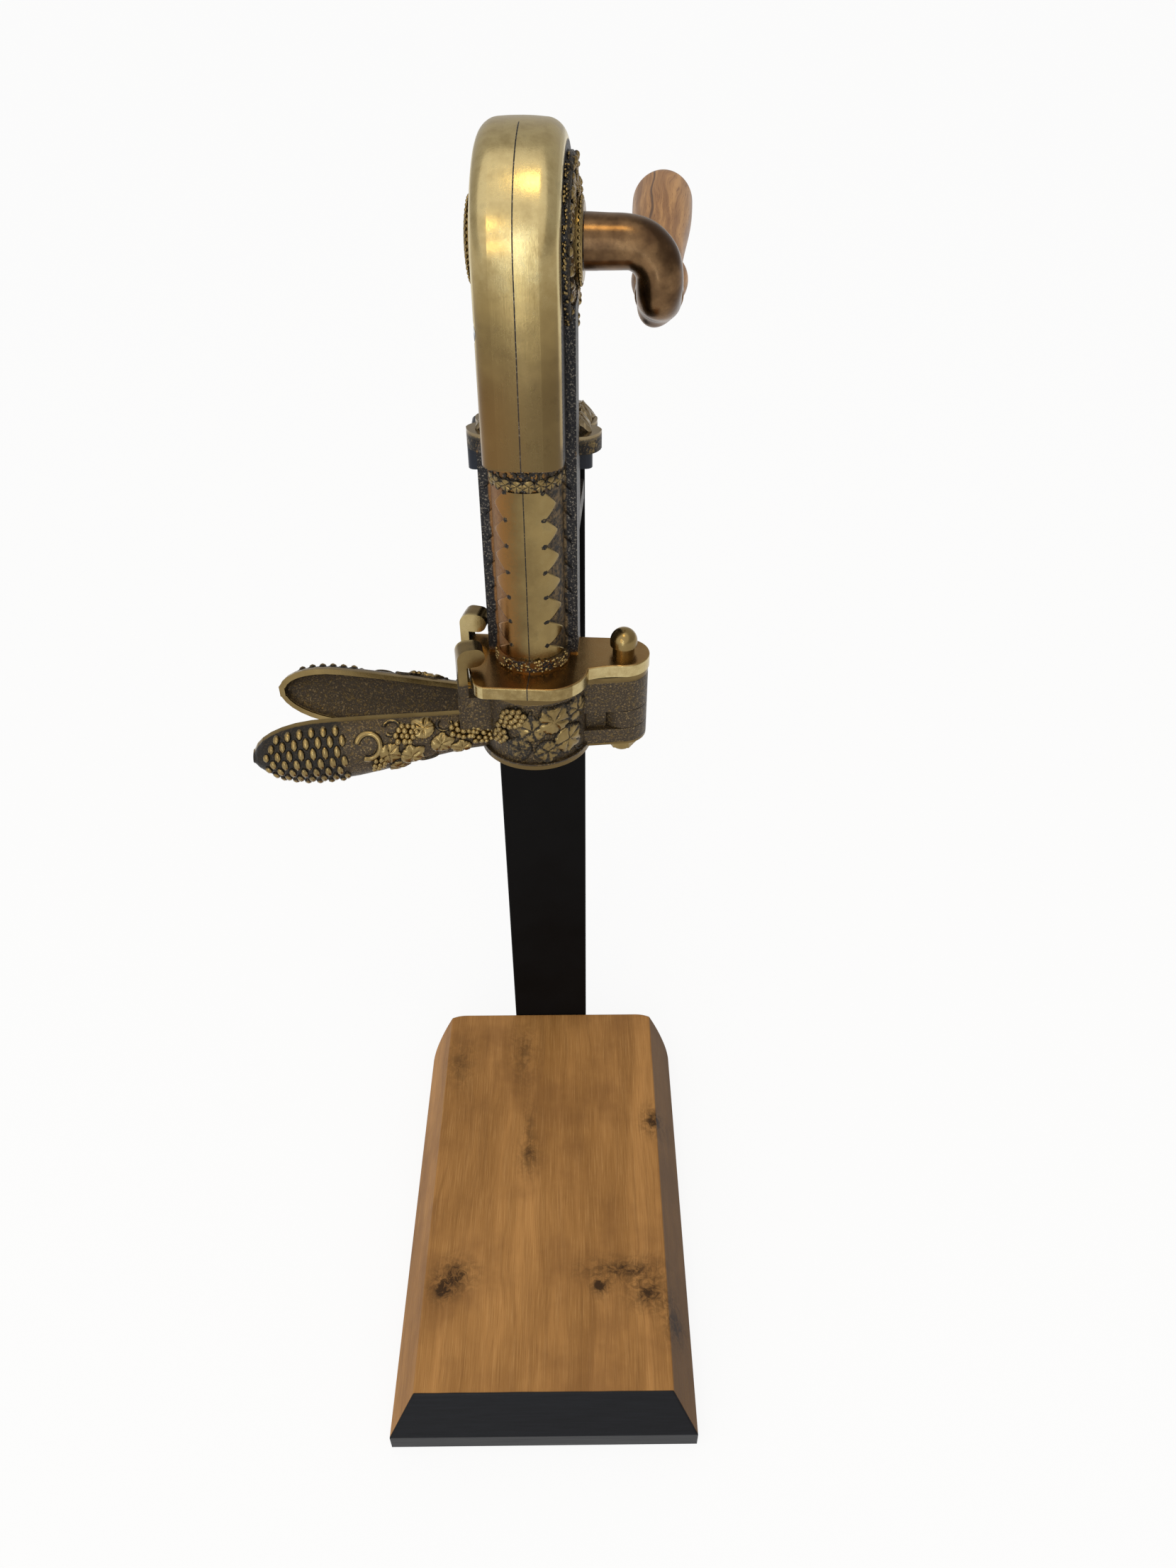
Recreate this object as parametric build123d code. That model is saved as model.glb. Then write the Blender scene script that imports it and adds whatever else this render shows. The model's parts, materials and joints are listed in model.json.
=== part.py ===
from build123d import *
from math import acos, asin, atan2, cos, degrees, hypot, pi, radians, sin, sqrt, tan
import os

# A lever wine opener clamped to a post on a wooden board. Millimetres, +Z up.
# World origin: centre of the board's underside, X to the right, Y to the back.

# Fits
run_gap = 0.05
slide_gap = 0.1
part_gap = 0.3
wide_gap = 0.8

# Stand
board_width = 158.8
board_length = 257.0
board_thick = 32.5
bevel_run = 12.7
bevel_drop = 21.0
board_edge = 1.2
board_corner = 22.0
post_width = 47.6
post_thick = 10.0
post_height = 434.0
post_edge = 1.0
foot_length = 80.0
foot_recess = 0.5
heel_radius = 9.0
top_plate_width = 54.0
top_plate_thick = 10.0
top_plate_lead = 26.0
wood_screw_radius = 2.2
wood_screw_head = 4.4
wood_screw_bite = 16.0

# Where the opener stands on the stand
axis_to_post = 53.5
opener_turn = -4.0
leaf_rise = 2.0
floor_gap = 1.5

# Column and plate of the opener, measured from the bottle's axis and the plate's top
bore_radius = 13.0
plate_thick = 6.0
plate_edge = 0.8
plate_front = 33.0
plate_left = 71.0
column_height = 95.0
column_half = 15.0
column_front = 19.0
column_back = 16.5
flange_half = 20.3
flange_front = 3.0
flange_back = 12.0
skirt_height = 6.0
skirt_step = 2.0
tooth_count = 7
tooth_reach = 3.4
tooth_depth = 2.2
hem_height = 12.0

# Hinge of the jaws
hinge_x = 41.0
hinge_radius = 4.2
lobe_radius = 12.0
acorn_radius = 6.2
acorn_neck = 4.0

# Head
head_half = 16.25
head_front = 23.5
head_radius = 41.5
head_rise = 72.5
head_round = 8.0
head_crown = 1.3
disc_radius = 31.0
disc_step = 1.75
boss_wall = 4.0
hub_radius = 15.0
hub_thick = 4.0
hub_spigot = 9.0

# Gears and rack
gear_module = 1.6
gear_teeth = 16
gear_half = 4.0
backlash = 0.3
shaft_y = 22.5
shaft_radius = 6.0
pinion_rise = 22.5
gear_pin_radius = 4.0
gear_pin_half = 9.5
sump_half = 12.5
rack_half = 5.0
rack_offset = 5.2
rack_back_depth = 11.2
rack_rise = 13.6
rack_length = 73.4
stroke = 57.0

# Worm
worm_radius = 3.2
wire_radius = 1.5
worm_pitch = 9.5
worm_tip = 4.0
spindle_gap = 7.0
spindle_radius = 5.0
neck_radius = 3.2
neck_length = 14.0
bush_thick = 6.0
keeper_radius = 1.4

# Lever
arm_root_radius = 10.2
arm_end_radius = 8.6
arm_out = 16.0
elbow_radius = 13.0
crook_radius = 10.0
grip_rise = 11.0
ferrule_length = 7.0
grip_length = 92.0
bead_radius = 11.5
waist_radius = 9.3
grip_radius = 13.3
stud_radius = 3.0

# Jaws
jaw_top = -6.4
jaw_bottom = -45.0
ring_inner = 17.0
ring_outer = 24.5
pad_thick = 2.5
jaw_split = 1.0
front_open = 9.5
rear_open = -3.5
knuckle_radius = 11.5
handle_tip = 131.0
handle_root_half = 9.5
handle_tip_half = 16.5
handle_depth = 12.0
handle_wall = 2.8
handle_rows = 14
hook_gap = 1.5
hook_thick = 4.0
hook_height = 12.5
hook_width = 9.0
hook_clear = 3.5
hook_reach = 7.0

# Clamp
bracket_thick = 5.5
leaf_thick = 12.0
leaf_edge = 4.0
leaf_slope = 40.0
leaf_half = 29.0
leaf_length = 36.0
clamp_y = 38.0
arm_half = 20.0
arm_thick = 9.0
arm_drop = 14.0
arm_reach = 49.0
clamp_screw_radius = 4.0
clamp_pad_radius = 9.0
clamp_pad_thick = 5.0
clamp_knob_radius = 13.0

# Derived places
axis_y = board_length / 2 - axis_to_post
top_plate_front = axis_y + top_plate_lead
clamp_height = column_height + leaf_rise - leaf_thick - top_plate_thick
back_floor = column_height + leaf_rise + floor_gap
head_z = column_height + head_rise
pinion_z = column_height + pinion_rise
rack_bottom = column_height + rack_rise
rack_top = rack_bottom + rack_length
bush_bottom = rack_bottom - stroke - bush_thick - 2 * part_gap
spindle_bottom = bush_bottom + bush_thick + spindle_gap
pitch_radius = gear_module * gear_teeth / 2
pinion_y = pitch_radius + rack_offset
gear_span = hypot(shaft_y - pinion_y, head_z - pinion_z)
idler_off = sqrt(max((2 * pitch_radius) ** 2 - (gear_span / 2) ** 2, 0.01))
idler_y = (shaft_y + pinion_y) / 2 + idler_off * (head_z - pinion_z) / gear_span
idler_z = (head_z + pinion_z) / 2 - idler_off * (shaft_y - pinion_y) / gear_span
rack_line = pinion_y - pitch_radius
head_y = head_radius - head_front
hub_face = head_half + disc_step + hub_thick
block_bottom = clamp_height
block_top = clamp_height + top_plate_thick
opener_z = post_height - clamp_height
seat = Location((0, axis_y, opener_z), (0, 0, opener_turn))


def rod(radius, start, end, direction="z", x=0.0, y=0.0, z=0.0):
    """Cylinder from start to end along one axis, through the point x, y, z."""
    length = end - start
    if direction == "x":
        place = Location(((start + end) / 2, y, z), (0, 90, 0))
    elif direction == "y":
        place = Location((x, (start + end) / 2, z), (90, 0, 0))
    else:
        place = Location((x, y, (start + end) / 2))
    return place * Cylinder(radius, length)


def block(x0, x1, y0, y1, z0, z1):
    """Box between two corners."""
    return Location(((x0 + x1) / 2, (y0 + y1) / 2, (z0 + z1) / 2)) * Box(x1 - x0, y1 - y0, z1 - z0)


def side_plate(face, x0, x1):
    """Face drawn in the side view (local x is Y, local y is Z), thick from x0 to x1."""
    return extrude(Plane.YZ.offset(x0) * face, x1 - x0)


def top_slab(face, z0, z1):
    """Face drawn from above, thick from z0 to z1."""
    return extrude(Plane.XY.offset(z0) * face, z1 - z0)


def put(shape, name, place=None):
    """Write one sub-part as a STEP file."""
    shape = place * shape if place else shape
    shape.label = name
    export_step(shape, "parts/" + name + ".step")


# Stand

def foot_places():
    back = board_length / 2
    xs = (-post_width * 0.28, post_width * 0.28)
    return [(x, y) for x in xs for y in (back - foot_length * 0.8, back - foot_length * 0.3)]


def base_board():
    w, l, t = board_width / 2, board_length / 2, board_thick
    plan = Rectangle(board_width, board_length)
    plan = fillet(plan.vertices().group_by(Axis.Y)[-1], board_corner)
    board = extrude(plan, t)
    slope = bevel_run / bevel_drop
    low = t - bevel_drop
    over = bevel_run + 2 * slope
    for side in (-1, 1):
        cut = make_face(Polyline((side * w, low), (side * (w - over), t + 2), (side * (w + 4), t + 2),
                                 (side * (w + 4), low), close=True))
        board -= extrude(Plane.XZ.offset(-l - 1) * cut, board_length + 2)
    cut = make_face(Polyline((-l, low), (-l + over, t + 2), (-l - 4, t + 2), (-l - 4, low), close=True))
    board -= side_plate(cut, -w - 1, w + 1)
    board = fillet(board.edges().filter_by(lambda edge: edge.center().Z > low - 0.5), board_edge)
    half = post_width / 2 + part_gap
    board -= block(-half, half, l - foot_length - part_gap, l + 1, -1, foot_recess + post_thick)
    for x, y in foot_places():
        top = foot_recess + post_thick + wood_screw_bite
        board -= rod(wood_screw_radius + run_gap, 0, top + part_gap, x=x, y=y)
    return board


def post():
    half, l = post_width / 2, board_length / 2
    bar = block(-half, half, l, l + post_thick, foot_recess, post_height)
    bar += block(-half, half, l - foot_length, l + 1, foot_recess, foot_recess + post_thick)
    heel = bar.edges().filter_by(Axis.X).sort_by(lambda e: e.center().Z - e.center().Y)[0]
    bar = fillet(heel, heel_radius)
    bar = fillet(bar.edges().filter_by(Axis.Z).filter_by(lambda edge: edge.length > post_height / 2), post_edge)
    for x, y in foot_places():
        bar -= rod(wood_screw_radius + run_gap, 0, post_thick + 1, x=x, y=y)
        bar -= sunk_head(x, y, run_gap)
    return bar


def sunk_head(x, y, gap):
    drop = wood_screw_head - wood_screw_radius
    cone = Cone(wood_screw_head + gap, wood_screw_radius + gap, drop, align=(Align.CENTER, Align.CENTER, Align.MIN))
    return Location((x, y, foot_recess)) * cone


def foot_screws():
    group = []
    for x, y in foot_places():
        screw = sunk_head(x, y, 0)
        screw += rod(wood_screw_radius, foot_recess + 1, foot_recess + post_thick + wood_screw_bite, x=x, y=y)
        group.append(screw.solid())
    return Compound(children=group)


def top_plate():
    half = top_plate_width / 2
    l = board_length / 2 + post_thick
    slab = block(-half, half, top_plate_front, l, post_height, post_height + top_plate_thick)
    slab = fillet(slab.edges().filter_by(Axis.Z), 3)
    return chamfer(slab.faces().sort_by(Axis.Z)[-1].edges(), 0.6)


# Body of the opener

def plate_face():
    left, front = plate_left, plate_front
    turn = asin((front - 6) / left)
    corner = (hinge_x - left * cos(turn), -left * sin(turn))
    back_turn = asin(flange_back / left)
    back = (hinge_x - left * cos(back_turn), flange_back)
    mid = (26.0 / 41.0 * hinge_x, -front * 0.46)
    edge_a = (8.0 / 41.0 * hinge_x, -front)
    lobe_a = (hinge_x, -lobe_radius)
    lobe_b = (hinge_x, flange_back)
    nose = (corner[0] + 5, -front)
    return make_face(Curve() + [
        ThreePointArc(back, (hinge_x - left, 0), corner),
        RadiusArc(corner, nose, -6.5),
        Line(nose, edge_a),
        TangentArc(edge_a, mid, tangent=(1, 0)),
        TangentArc(lobe_a, mid, tangent=(-1, 0)),
        ThreePointArc(lobe_a, (hinge_x + lobe_radius, 0), lobe_b),
        Line(lobe_b, back)])


def column_face(step=0.0):
    centre = column_half - column_front
    face = Location((0, centre)) * Circle(column_half + step)
    return face + Location((0, (centre + column_back) / 2)) * Rectangle(2 * column_half, column_back - centre)


def head_solid():
    """Round head with a straight front below it and a gear sump behind."""
    r, y0, z0 = head_radius, head_y, head_z
    side = r - head_crown
    disc = make_face(Curve() + [Polyline((-head_half, side), (-head_half, 0), (head_half, 0), (head_half, side)),
                                ThreePointArc((head_half, side), (0, r), (-head_half, side))])
    disc = fillet(disc.vertices().group_by(Axis.Y)[-1], head_round)
    head = Location((0, y0, z0)) * revolve(disc, Axis.X)
    side = head_crown - head_front
    front = make_face(Curve() + [Polyline((head_half, side), (head_half, column_back), (-head_half, column_back),
                                          (-head_half, side)),
                                 ThreePointArc((-head_half, side), (0, -head_front), (head_half, side))])
    front = fillet(front.vertices().group_by(Axis.Y)[0], head_round)
    head += top_slab(front, column_height, z0)
    low = (y0 + r * 0.94 * cos(radians(-42)), z0 + r * 0.94 * sin(radians(-42)))
    sump = pinion_y + pitch_radius + gear_module + 5
    back = make_face(Polyline((-5, column_height), (-5, z0), (y0, z0), low, (sump, pinion_z - 4),
                              (sump - 12, back_floor), (column_back, back_floor), (column_back, column_height),
                              close=True))
    return head + side_plate(back, -sump_half, sump_half)


def body_solid():
    body = head_solid() + top_slab(column_face(), -1, column_height + 2)
    flange_top = head_z - hub_radius - 1
    body += block(-flange_half, 0, -flange_front, flange_back, -1, column_height)
    body += block(0, flange_half, -flange_front, flange_back, -1, flange_top)
    plate = top_slab(plate_face(), -plate_thick, 0)
    rim = plate.faces().sort_by(Axis.Z)[-1].edges().filter_by(lambda edge: edge.center().Y < -flange_front)
    body += fillet(rim, plate_edge)
    body += top_slab(Location((0, column_half - column_front)) * Circle(column_half + skirt_step), -1, skirt_height)
    wide = head_half + disc_step
    body += rod(disc_radius, 0, wide, "x", y=head_y, z=head_z)
    body += rod(hub_radius + boss_wall, -wide, 0, "x", y=shaft_y, z=head_z)
    pitch = (column_height - hem_height) / tooth_count
    tooth = make_face(Polyline((0, -pitch * 0.38), (0, pitch * 0.38), (tooth_reach, pitch * 0.12),
                               (tooth_reach, -pitch * 0.12), close=True))
    for i in range(tooth_count):
        z = pitch * (i + 0.6)
        for side in (-1, 1):
            root = Plane((side * (column_half - 0.5), -flange_front, z), x_dir=(side, 0, 0), z_dir=(0, -side, 0))
            body += extrude(root * tooth, tooth_depth * side)
    return body


def gear_places():
    return (("drive", shaft_y, head_z), ("idler", idler_y, idler_z), ("pinion", pinion_y, pinion_z))


def body_cavity():
    tip = pitch_radius + gear_module
    room = rod(bore_radius, -plate_thick - 1, bush_bottom + bush_thick)
    front = rack_line - rack_back_depth - slide_gap
    wide = rack_half + slide_gap
    room += block(-wide, wide, front, rack_line + gear_module + 0.4, bush_bottom + bush_thick - 1, rack_top + 5)
    for name, y, z in gear_places():
        room += rod(tip + wide_gap, -gear_half - part_gap, gear_half + part_gap, "x", y=y, z=z)
    for name, y, z in gear_places()[1:]:
        room += rod(gear_pin_radius + run_gap, -gear_pin_half - run_gap, gear_pin_half + run_gap, "x", y=y, z=z)
    room += rod(hub_spigot + run_gap, -head_half * 2, head_half * 2, "x", y=shaft_y, z=head_z)
    room += rod(hinge_radius + run_gap, -plate_thick - 1, 1, x=hinge_x)
    for x, z in bolt_places():
        room += rod(2.5 + run_gap, column_back - 10, column_back + 1, "y", x=x, z=z)
    for y, z in screw_places():
        room += rod(2.5 + run_gap, -flange_half - 1, head_half - 3, "x", y=y, z=z)
        room += rod(4.5 + run_gap, -flange_half - 20, -screw_seat(z), "x", y=y, z=z)
    return room


def bolt_places():
    mid = (block_bottom - arm_drop / 2, block_bottom + top_plate_thick / 2)
    return [(x, z) for x in (-10.0, 10.0) for z in mid]


def screw_places():
    top = head_z + head_radius * 0.72
    low = sum(z for x, z in bolt_places()) / len(bolt_places())
    return [(head_y, top), (head_y + head_radius * 0.72, head_z + 2), (head_round - head_front + 1, head_z - 22),
            (column_back - 5.5, low)]


def screw_seat(z):
    return flange_half - 5.3 if z < column_height else head_half - 3.5


def body_half(side, body):
    far = head_radius * 6
    keep = block(0, far, -far, far, -far, far) if side > 0 else block(-far, 0, -far, far, -far, far)
    return body & keep


def body_screws():
    group = []
    for y, z in screw_places():
        seat_x = screw_seat(z)
        screw = rod(2.5, -seat_x - 1, head_half - 3.2, "x", y=y, z=z)
        screw += rod(4.5, -seat_x - 3, -seat_x, "x", y=y, z=z)
        group.append(screw.solid())
    return Compound(children=group)


def hub_flange():
    face = head_half + disc_step
    hub = rod(hub_radius, face, hub_face, "x", y=shaft_y, z=head_z)
    hub = chamfer(hub.faces().sort_by(Axis.X)[-1].edges(), 1.2)
    hub += rod(hub_spigot, gear_half + part_gap, face + 1, "x", y=shaft_y, z=head_z)
    return hub - rod(shaft_radius + run_gap, 0, hub_face + 1, "x", y=shaft_y, z=head_z)


def hub_cap():
    face = head_half + disc_step
    cap = rod(hub_radius, -hub_face, -face, "x", y=shaft_y, z=head_z)
    cap = fillet(cap.faces().sort_by(Axis.X)[0].edges(), hub_thick * 0.6)
    cap += rod(hub_spigot, -face - 1, -gear_half - part_gap, "x", y=shaft_y, z=head_z)
    return cap - rod(shaft_radius + run_gap, -face, 0, "x", y=shaft_y, z=head_z)


def guide_bush():
    bush = rod(bore_radius, bush_bottom, bush_bottom + bush_thick)
    return bush - rod(spindle_radius + 0.4, bush_bottom - 1, bush_bottom + bush_thick + 1)


def gear_pin(y, z):
    return rod(gear_pin_radius, -gear_pin_half, gear_pin_half, "x", y=y, z=z)


# Gears

def tooth_phases():
    """Turn of a tooth centre of each gear, so that neighbours mesh."""
    pitch = 2 * pi / gear_teeth
    a = atan2(idler_z - head_z, idler_y - shaft_y)
    idler = a + pi - (0 - a) - pitch / 2
    b = atan2(pinion_z - idler_z, pinion_y - idler_y)
    pinion = b + pi - (idler - b) - pitch / 2
    return 0.0, idler, pinion


def gear_face(phase):
    """Involute gear seen from the side, with a tooth centred on the phase angle."""
    press = radians(20)
    r = pitch_radius
    base, tip, root = r * cos(press), r + gear_module * 0.92, r - gear_module * 1.2
    half_pitch = (pi * gear_module / 2 - backlash) / (2 * r)
    inv = tan(press) - press

    def half_angle(radius):
        if radius <= base:
            return half_pitch + inv
        turn = acos(base / radius)
        return half_pitch + inv - (tan(turn) - turn)

    steps = [base + (tip - base) * k / 4 for k in range(5)]
    edges = []
    pitch = 2 * pi / gear_teeth
    for i in range(gear_teeth):
        c = phase + i * pitch

        def at(radius, offset):
            return (radius * cos(c + offset), radius * sin(c + offset))

        left = [at(q, -half_angle(q)) for q in steps]
        right = [at(q, half_angle(q)) for q in reversed(steps)]
        foot_l, foot_r = at(root, -half_angle(root)), at(root, half_angle(root))
        nxt = (root * cos(c + pitch - half_angle(root)), root * sin(c + pitch - half_angle(root)))
        mid = (root * cos(c + pitch / 2), root * sin(c + pitch / 2))
        edges += [Line(foot_l, left[0]), Spline(*left), ThreePointArc(left[-1], at(tip, 0), right[0]),
                  Spline(*right), Line(right[-1], foot_r), ThreePointArc(foot_r, mid, nxt)]
    return make_face(Curve() + edges)


def gear(name, bore):
    index = [g[0] for g in gear_places()].index(name)
    _, y, z = gear_places()[index]
    face = gear_face(tooth_phases()[index]) - Circle(bore)
    return side_plate(Location((y, z)) * face, -gear_half, gear_half)


def rack():
    pitch = pi * gear_module
    gap_z = pinion_z - pitch_radius * (tooth_phases()[2] - pi)
    gap_z += pitch * round((rack_bottom - gap_z) / pitch)
    front = rack_line - rack_back_depth
    top, root = rack_line + gear_module * 0.92, rack_line - gear_module * 1.2
    bar = block(-rack_half, rack_half, front, top, rack_bottom, rack_top)
    half = (pi * gear_module / 2 + backlash) / 2
    lean = tan(radians(20))
    z = gap_z
    while z < rack_top + pitch:
        wide = half + lean * (top + 1 - rack_line)
        thin = half - lean * (rack_line - root)
        cut = make_face(Polyline((top + 1, z - wide), (root, z - thin), (root, z + thin), (top + 1, z + wide),
                                 close=True))
        bar -= side_plate(cut, -rack_half - 1, rack_half + 1)
        z += pitch
    bar -= rod(neck_radius + run_gap, rack_bottom - 1, rack_bottom + neck_length + 0.3)
    keeper_z = rack_bottom + neck_length * 0.6
    return bar - rod(keeper_radius + run_gap, 0, rack_half + 1, "x", z=keeper_z)


def worm():
    height = spindle_bottom + 3 - worm_tip
    coil = Helix(pitch=worm_pitch, height=height, radius=worm_radius, center=(0, 0, worm_tip))
    start = coil @ 0
    wire = sweep(Plane(start, z_dir=coil % 0) * Circle(wire_radius), path=coil, is_frenet=True)
    tip_dir = (coil % 0) * -1
    point = Plane(start, z_dir=tip_dir) * Cone(wire_radius, 0.3, 4, align=(Align.CENTER, Align.CENTER, Align.MIN))
    body = rod(spindle_radius, spindle_bottom, rack_bottom - part_gap)
    body += rod(neck_radius, rack_bottom - 1, rack_bottom + neck_length)
    keeper_z = rack_bottom + neck_length * 0.6
    groove = rod(neck_radius + 1, keeper_z - keeper_radius - 0.2, keeper_z + keeper_radius + 0.2)
    groove -= rod(neck_radius - 1.2, keeper_z - 9, keeper_z + 9)
    return (body - groove) + wire + point


def worm_keeper():
    keeper_z = rack_bottom + neck_length * 0.6
    return rod(keeper_radius, neck_radius - 1.2 + 0.1, rack_half, "x", z=keeper_z)


# Lever

def arm_stations():
    """Places, directions and side directions along the arm's middle line, measured from the shaft."""
    x0 = hub_face + part_gap
    x1 = hub_face + arm_out
    out = []
    for part in (0, 0.33, 0.67, 1):
        out.append(((x0 + (x1 - x0) * part, 0, 0), (1, 0, 0), (0, 1, 0)))
    for t in (22.5, 45, 67.5, 90):
        a = radians(t)
        place = (x1 + elbow_radius * sin(a), 0, -elbow_radius * (1 - cos(a)))
        out.append((place, (cos(a), 0, -sin(a)), (0, 1, 0)))
    far = x1 + elbow_radius
    for t in (25, 50, 75, 90 + grip_rise):
        a = radians(t)
        y = crook_radius * (1 - cos(a))
        out.append(((far, y, -elbow_radius - crook_radius * sin(a)), (0, sin(a), -cos(a)), (0, cos(a), sin(a))))
    return out


def grip_frame():
    place, way, _ = arm_stations()[-1]
    return Plane((place[0], place[1] + shaft_y, place[2] + head_z), x_dir=(1, 0, 0), z_dir=way)


def lever_arm():
    stations = arm_stations()
    rings = []
    for i, (place, way, across) in enumerate(stations):
        radius = arm_root_radius + (arm_end_radius - arm_root_radius) * i / (len(stations) - 1)
        where = Plane((place[0], place[1] + shaft_y, place[2] + head_z), x_dir=across, z_dir=way)
        rings.append(where * Circle(radius))
    arm = loft(rings)
    arm -= rod(shaft_radius + run_gap, 0, hub_face + arm_out - 3, "x", y=shaft_y, z=head_z)
    arm -= pin_hole(run_gap)
    arm -= grip_frame() * Location((0, 0, -4)) * Cylinder(stud_radius + run_gap, 10)
    return arm


def pin_hole(gap):
    x = hub_face + arm_out * 0.45
    return Location((x, shaft_y, head_z)) * Cylinder(1.8 + gap, 2 * arm_root_radius - 3)


def lever_shaft():
    shaft = rod(shaft_radius, -head_half - disc_step + 0.3, hub_face + arm_out - 3.3, "x", y=shaft_y, z=head_z)
    return shaft - pin_hole(run_gap)


def shaft_pin():
    return pin_hole(0)


def grip_ferrule():
    ring = Location((0, 0, ferrule_length / 2 + 0.05)) * Cylinder(arm_end_radius + 1.2, ferrule_length - 0.1)
    ring = fillet(ring.edges().filter_by(GeomType.CIRCLE), 1.0)
    ring -= Cylinder(stud_radius + run_gap, 4 * ferrule_length)
    return grip_frame() * ring


def grip():
    l, e = grip_length, ferrule_length
    side = [Line((0, e), (waist_radius * 0.95, e)),
            ThreePointArc((waist_radius * 0.95, e), (bead_radius, e + 6), (waist_radius * 1.04, e + 12)),
            Spline((waist_radius * 1.04, e + 12), (waist_radius, e + 24), (grip_radius * 0.9, e + 50),
                   (grip_radius, e + l - grip_radius), tangents=((-0.3, 1), (0.0, 1))),
            CenterArc((0, e + l - grip_radius), grip_radius, 0, 90),
            Line((0, e + l), (0, e))]
    wood = revolve(Plane.XZ * make_face(Curve() + side), Axis.Z)
    wood -= Location((0, 0, e + 20)) * Cylinder(stud_radius + run_gap, 50)
    return grip_frame() * wood


def grip_stud():
    return grip_frame() * Location((0, 0, (ferrule_length + 40 - 8.5) / 2)) * Cylinder(stud_radius,
                                                                                   ferrule_length + 40 + 8.5)


# Jaws, drawn closed on the bottle's axis with the front jaw at negative Y

def ring_half(outer, inner, low, high, split):
    ring = rod(outer, low, high) - rod(inner, low - 1, high + 1)
    far = outer * 3
    return ring & block(-far, far, -far, -split, low - 1, high + 1)


def spoon(shrink, start):
    """Half-shell of a handle, flat side at the rim, from the collar out to the tip."""
    root_z = jaw_bottom + handle_root_half
    tip_z = jaw_bottom + handle_root_half - 5
    span = handle_tip - ring_outer * 0.75
    rows = []
    for i in range(handle_rows + 1):
        k = 1 - (1 - start) * (1 - i / handle_rows) ** 2
        reach = (span - shrink) * k
        swell = 0.5 - 0.5 * cos(pi * min(k / 0.72, 1.0))
        half = handle_root_half + (handle_tip_half - handle_root_half) * swell
        round_end = sqrt(max(1 - max((k - 0.72) / 0.28, 0) ** 2, 0.03))
        deep = handle_depth * (0.8 + 0.2 * swell)
        zc = root_z + (tip_z - root_z) * swell
        rim = jaw_split + 5.0 * reach / span
        h, d = (half - shrink) * round_end, (deep - shrink) * (0.35 + 0.65 * round_end)
        arc = EllipticalCenterArc((0, 0), d, h, start_angle=90, arc_size=180)
        flat = Polyline((0, -h), (shrink, -h), (shrink, h), (0, h)) if shrink else Line((0, -h), (0, h))
        face = make_face(Curve() + [arc, flat])
        rows.append(Plane((-ring_outer * 0.75 - reach, -rim, zc), x_dir=(0, 1, 0), z_dir=(1, 0, 0)) * face)
    return loft(rows, ruled=True)


def hook():
    """Upstanding stem that curls over the plate's left end, drawn for the front jaw and turned about the hinge."""
    inner = plate_left + hook_gap
    outer = inner + hook_thick
    bend = hook_thick + 1
    lip = (hook_height - hook_clear) / 2
    nose = inner - hook_gap - hook_reach + lip
    low = jaw_bottom + 2 * handle_root_half - 4
    side = make_face(Curve() + [
        Line((inner, low), (outer, low)), Line((outer, low), (outer, hook_height - bend)),
        CenterArc((outer - bend, hook_height - bend), bend, 0, 90),
        Line((outer - bend, hook_height), (nose, hook_height)),
        CenterArc((nose, hook_height - lip), lip, 90, 180),
        Line((nose, hook_clear), (inner, hook_clear)), Line((inner, hook_clear), (inner, low))])
    wide = degrees(hook_width / inner)
    start = degrees(asin((jaw_split + 2) / inner))
    turn = revolve(Plane.XZ * side, Axis.Z, wide)
    return Location((hinge_x, 0, 0)) * Location((0, 0, 0), (0, 0, 180 + start)) * turn


def knuckle_spans(front):
    h = (jaw_top - jaw_bottom)
    a, b = jaw_bottom + h * 0.26, jaw_bottom + h * 0.51
    if front:
        return ((jaw_bottom + 1, a - part_gap / 2), (b + part_gap / 2, jaw_top))
    return ((a + part_gap / 2, b - part_gap / 2),)


def jaw(front):
    """One collar half with handle, hook and hinge knuckles, closed; the rear one is mirrored."""
    body = ring_half(ring_outer, ring_inner, jaw_bottom, jaw_top, jaw_split)
    body += ring_half(ring_outer + 1.6, ring_inner + 2, jaw_bottom, jaw_bottom + 3, jaw_split)
    body += ring_half(ring_outer + 1.2, ring_inner + 2, jaw_top - 3.5, jaw_top, jaw_split)
    arm = spoon(0, 0) - spoon(handle_wall, 0.14)
    body += arm - rod(ring_inner + 1, jaw_bottom - 40, jaw_top + 1)
    inner_x = hinge_x - plate_left - hook_gap
    bridge = block(inner_x - hook_thick, -ring_outer * 0.7, -jaw_split - 2 - hook_width, -jaw_split - 2,
                   jaw_bottom + 2 * handle_root_half - 5, jaw_top - 6)
    body += bridge - rod(ring_inner + 2, jaw_bottom, jaw_top)
    body += hook()
    for low, high in knuckle_spans(front):
        web = block(ring_inner + 3, hinge_x, -knuckle_radius, -jaw_split, low, high)
        body += web + rod(knuckle_radius, low, high, x=hinge_x)
    cheek = knuckle_radius - 3
    body += block(ring_inner + 3, hinge_x - cheek, -cheek, -jaw_split, jaw_bottom + 1, jaw_top)
    for low, high in knuckle_spans(not front):
        body -= rod(knuckle_radius + wide_gap, low - part_gap, high + part_gap, x=hinge_x)
    body -= rod(hinge_radius + run_gap, jaw_bottom - 1, jaw_top + 1, x=hinge_x)
    return body


def turned(shape, degrees_open):
    """Swing a shape about the hinge pin."""
    return Location((hinge_x, 0, 0)) * Location((0, 0, 0), (0, 0, degrees_open)) * Location((-hinge_x, 0, 0)) * shape


def front_jaw():
    return turned(jaw(True), front_open)


def rear_jaw():
    return turned(mirror(jaw(False), Plane.XZ), rear_open)


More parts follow.
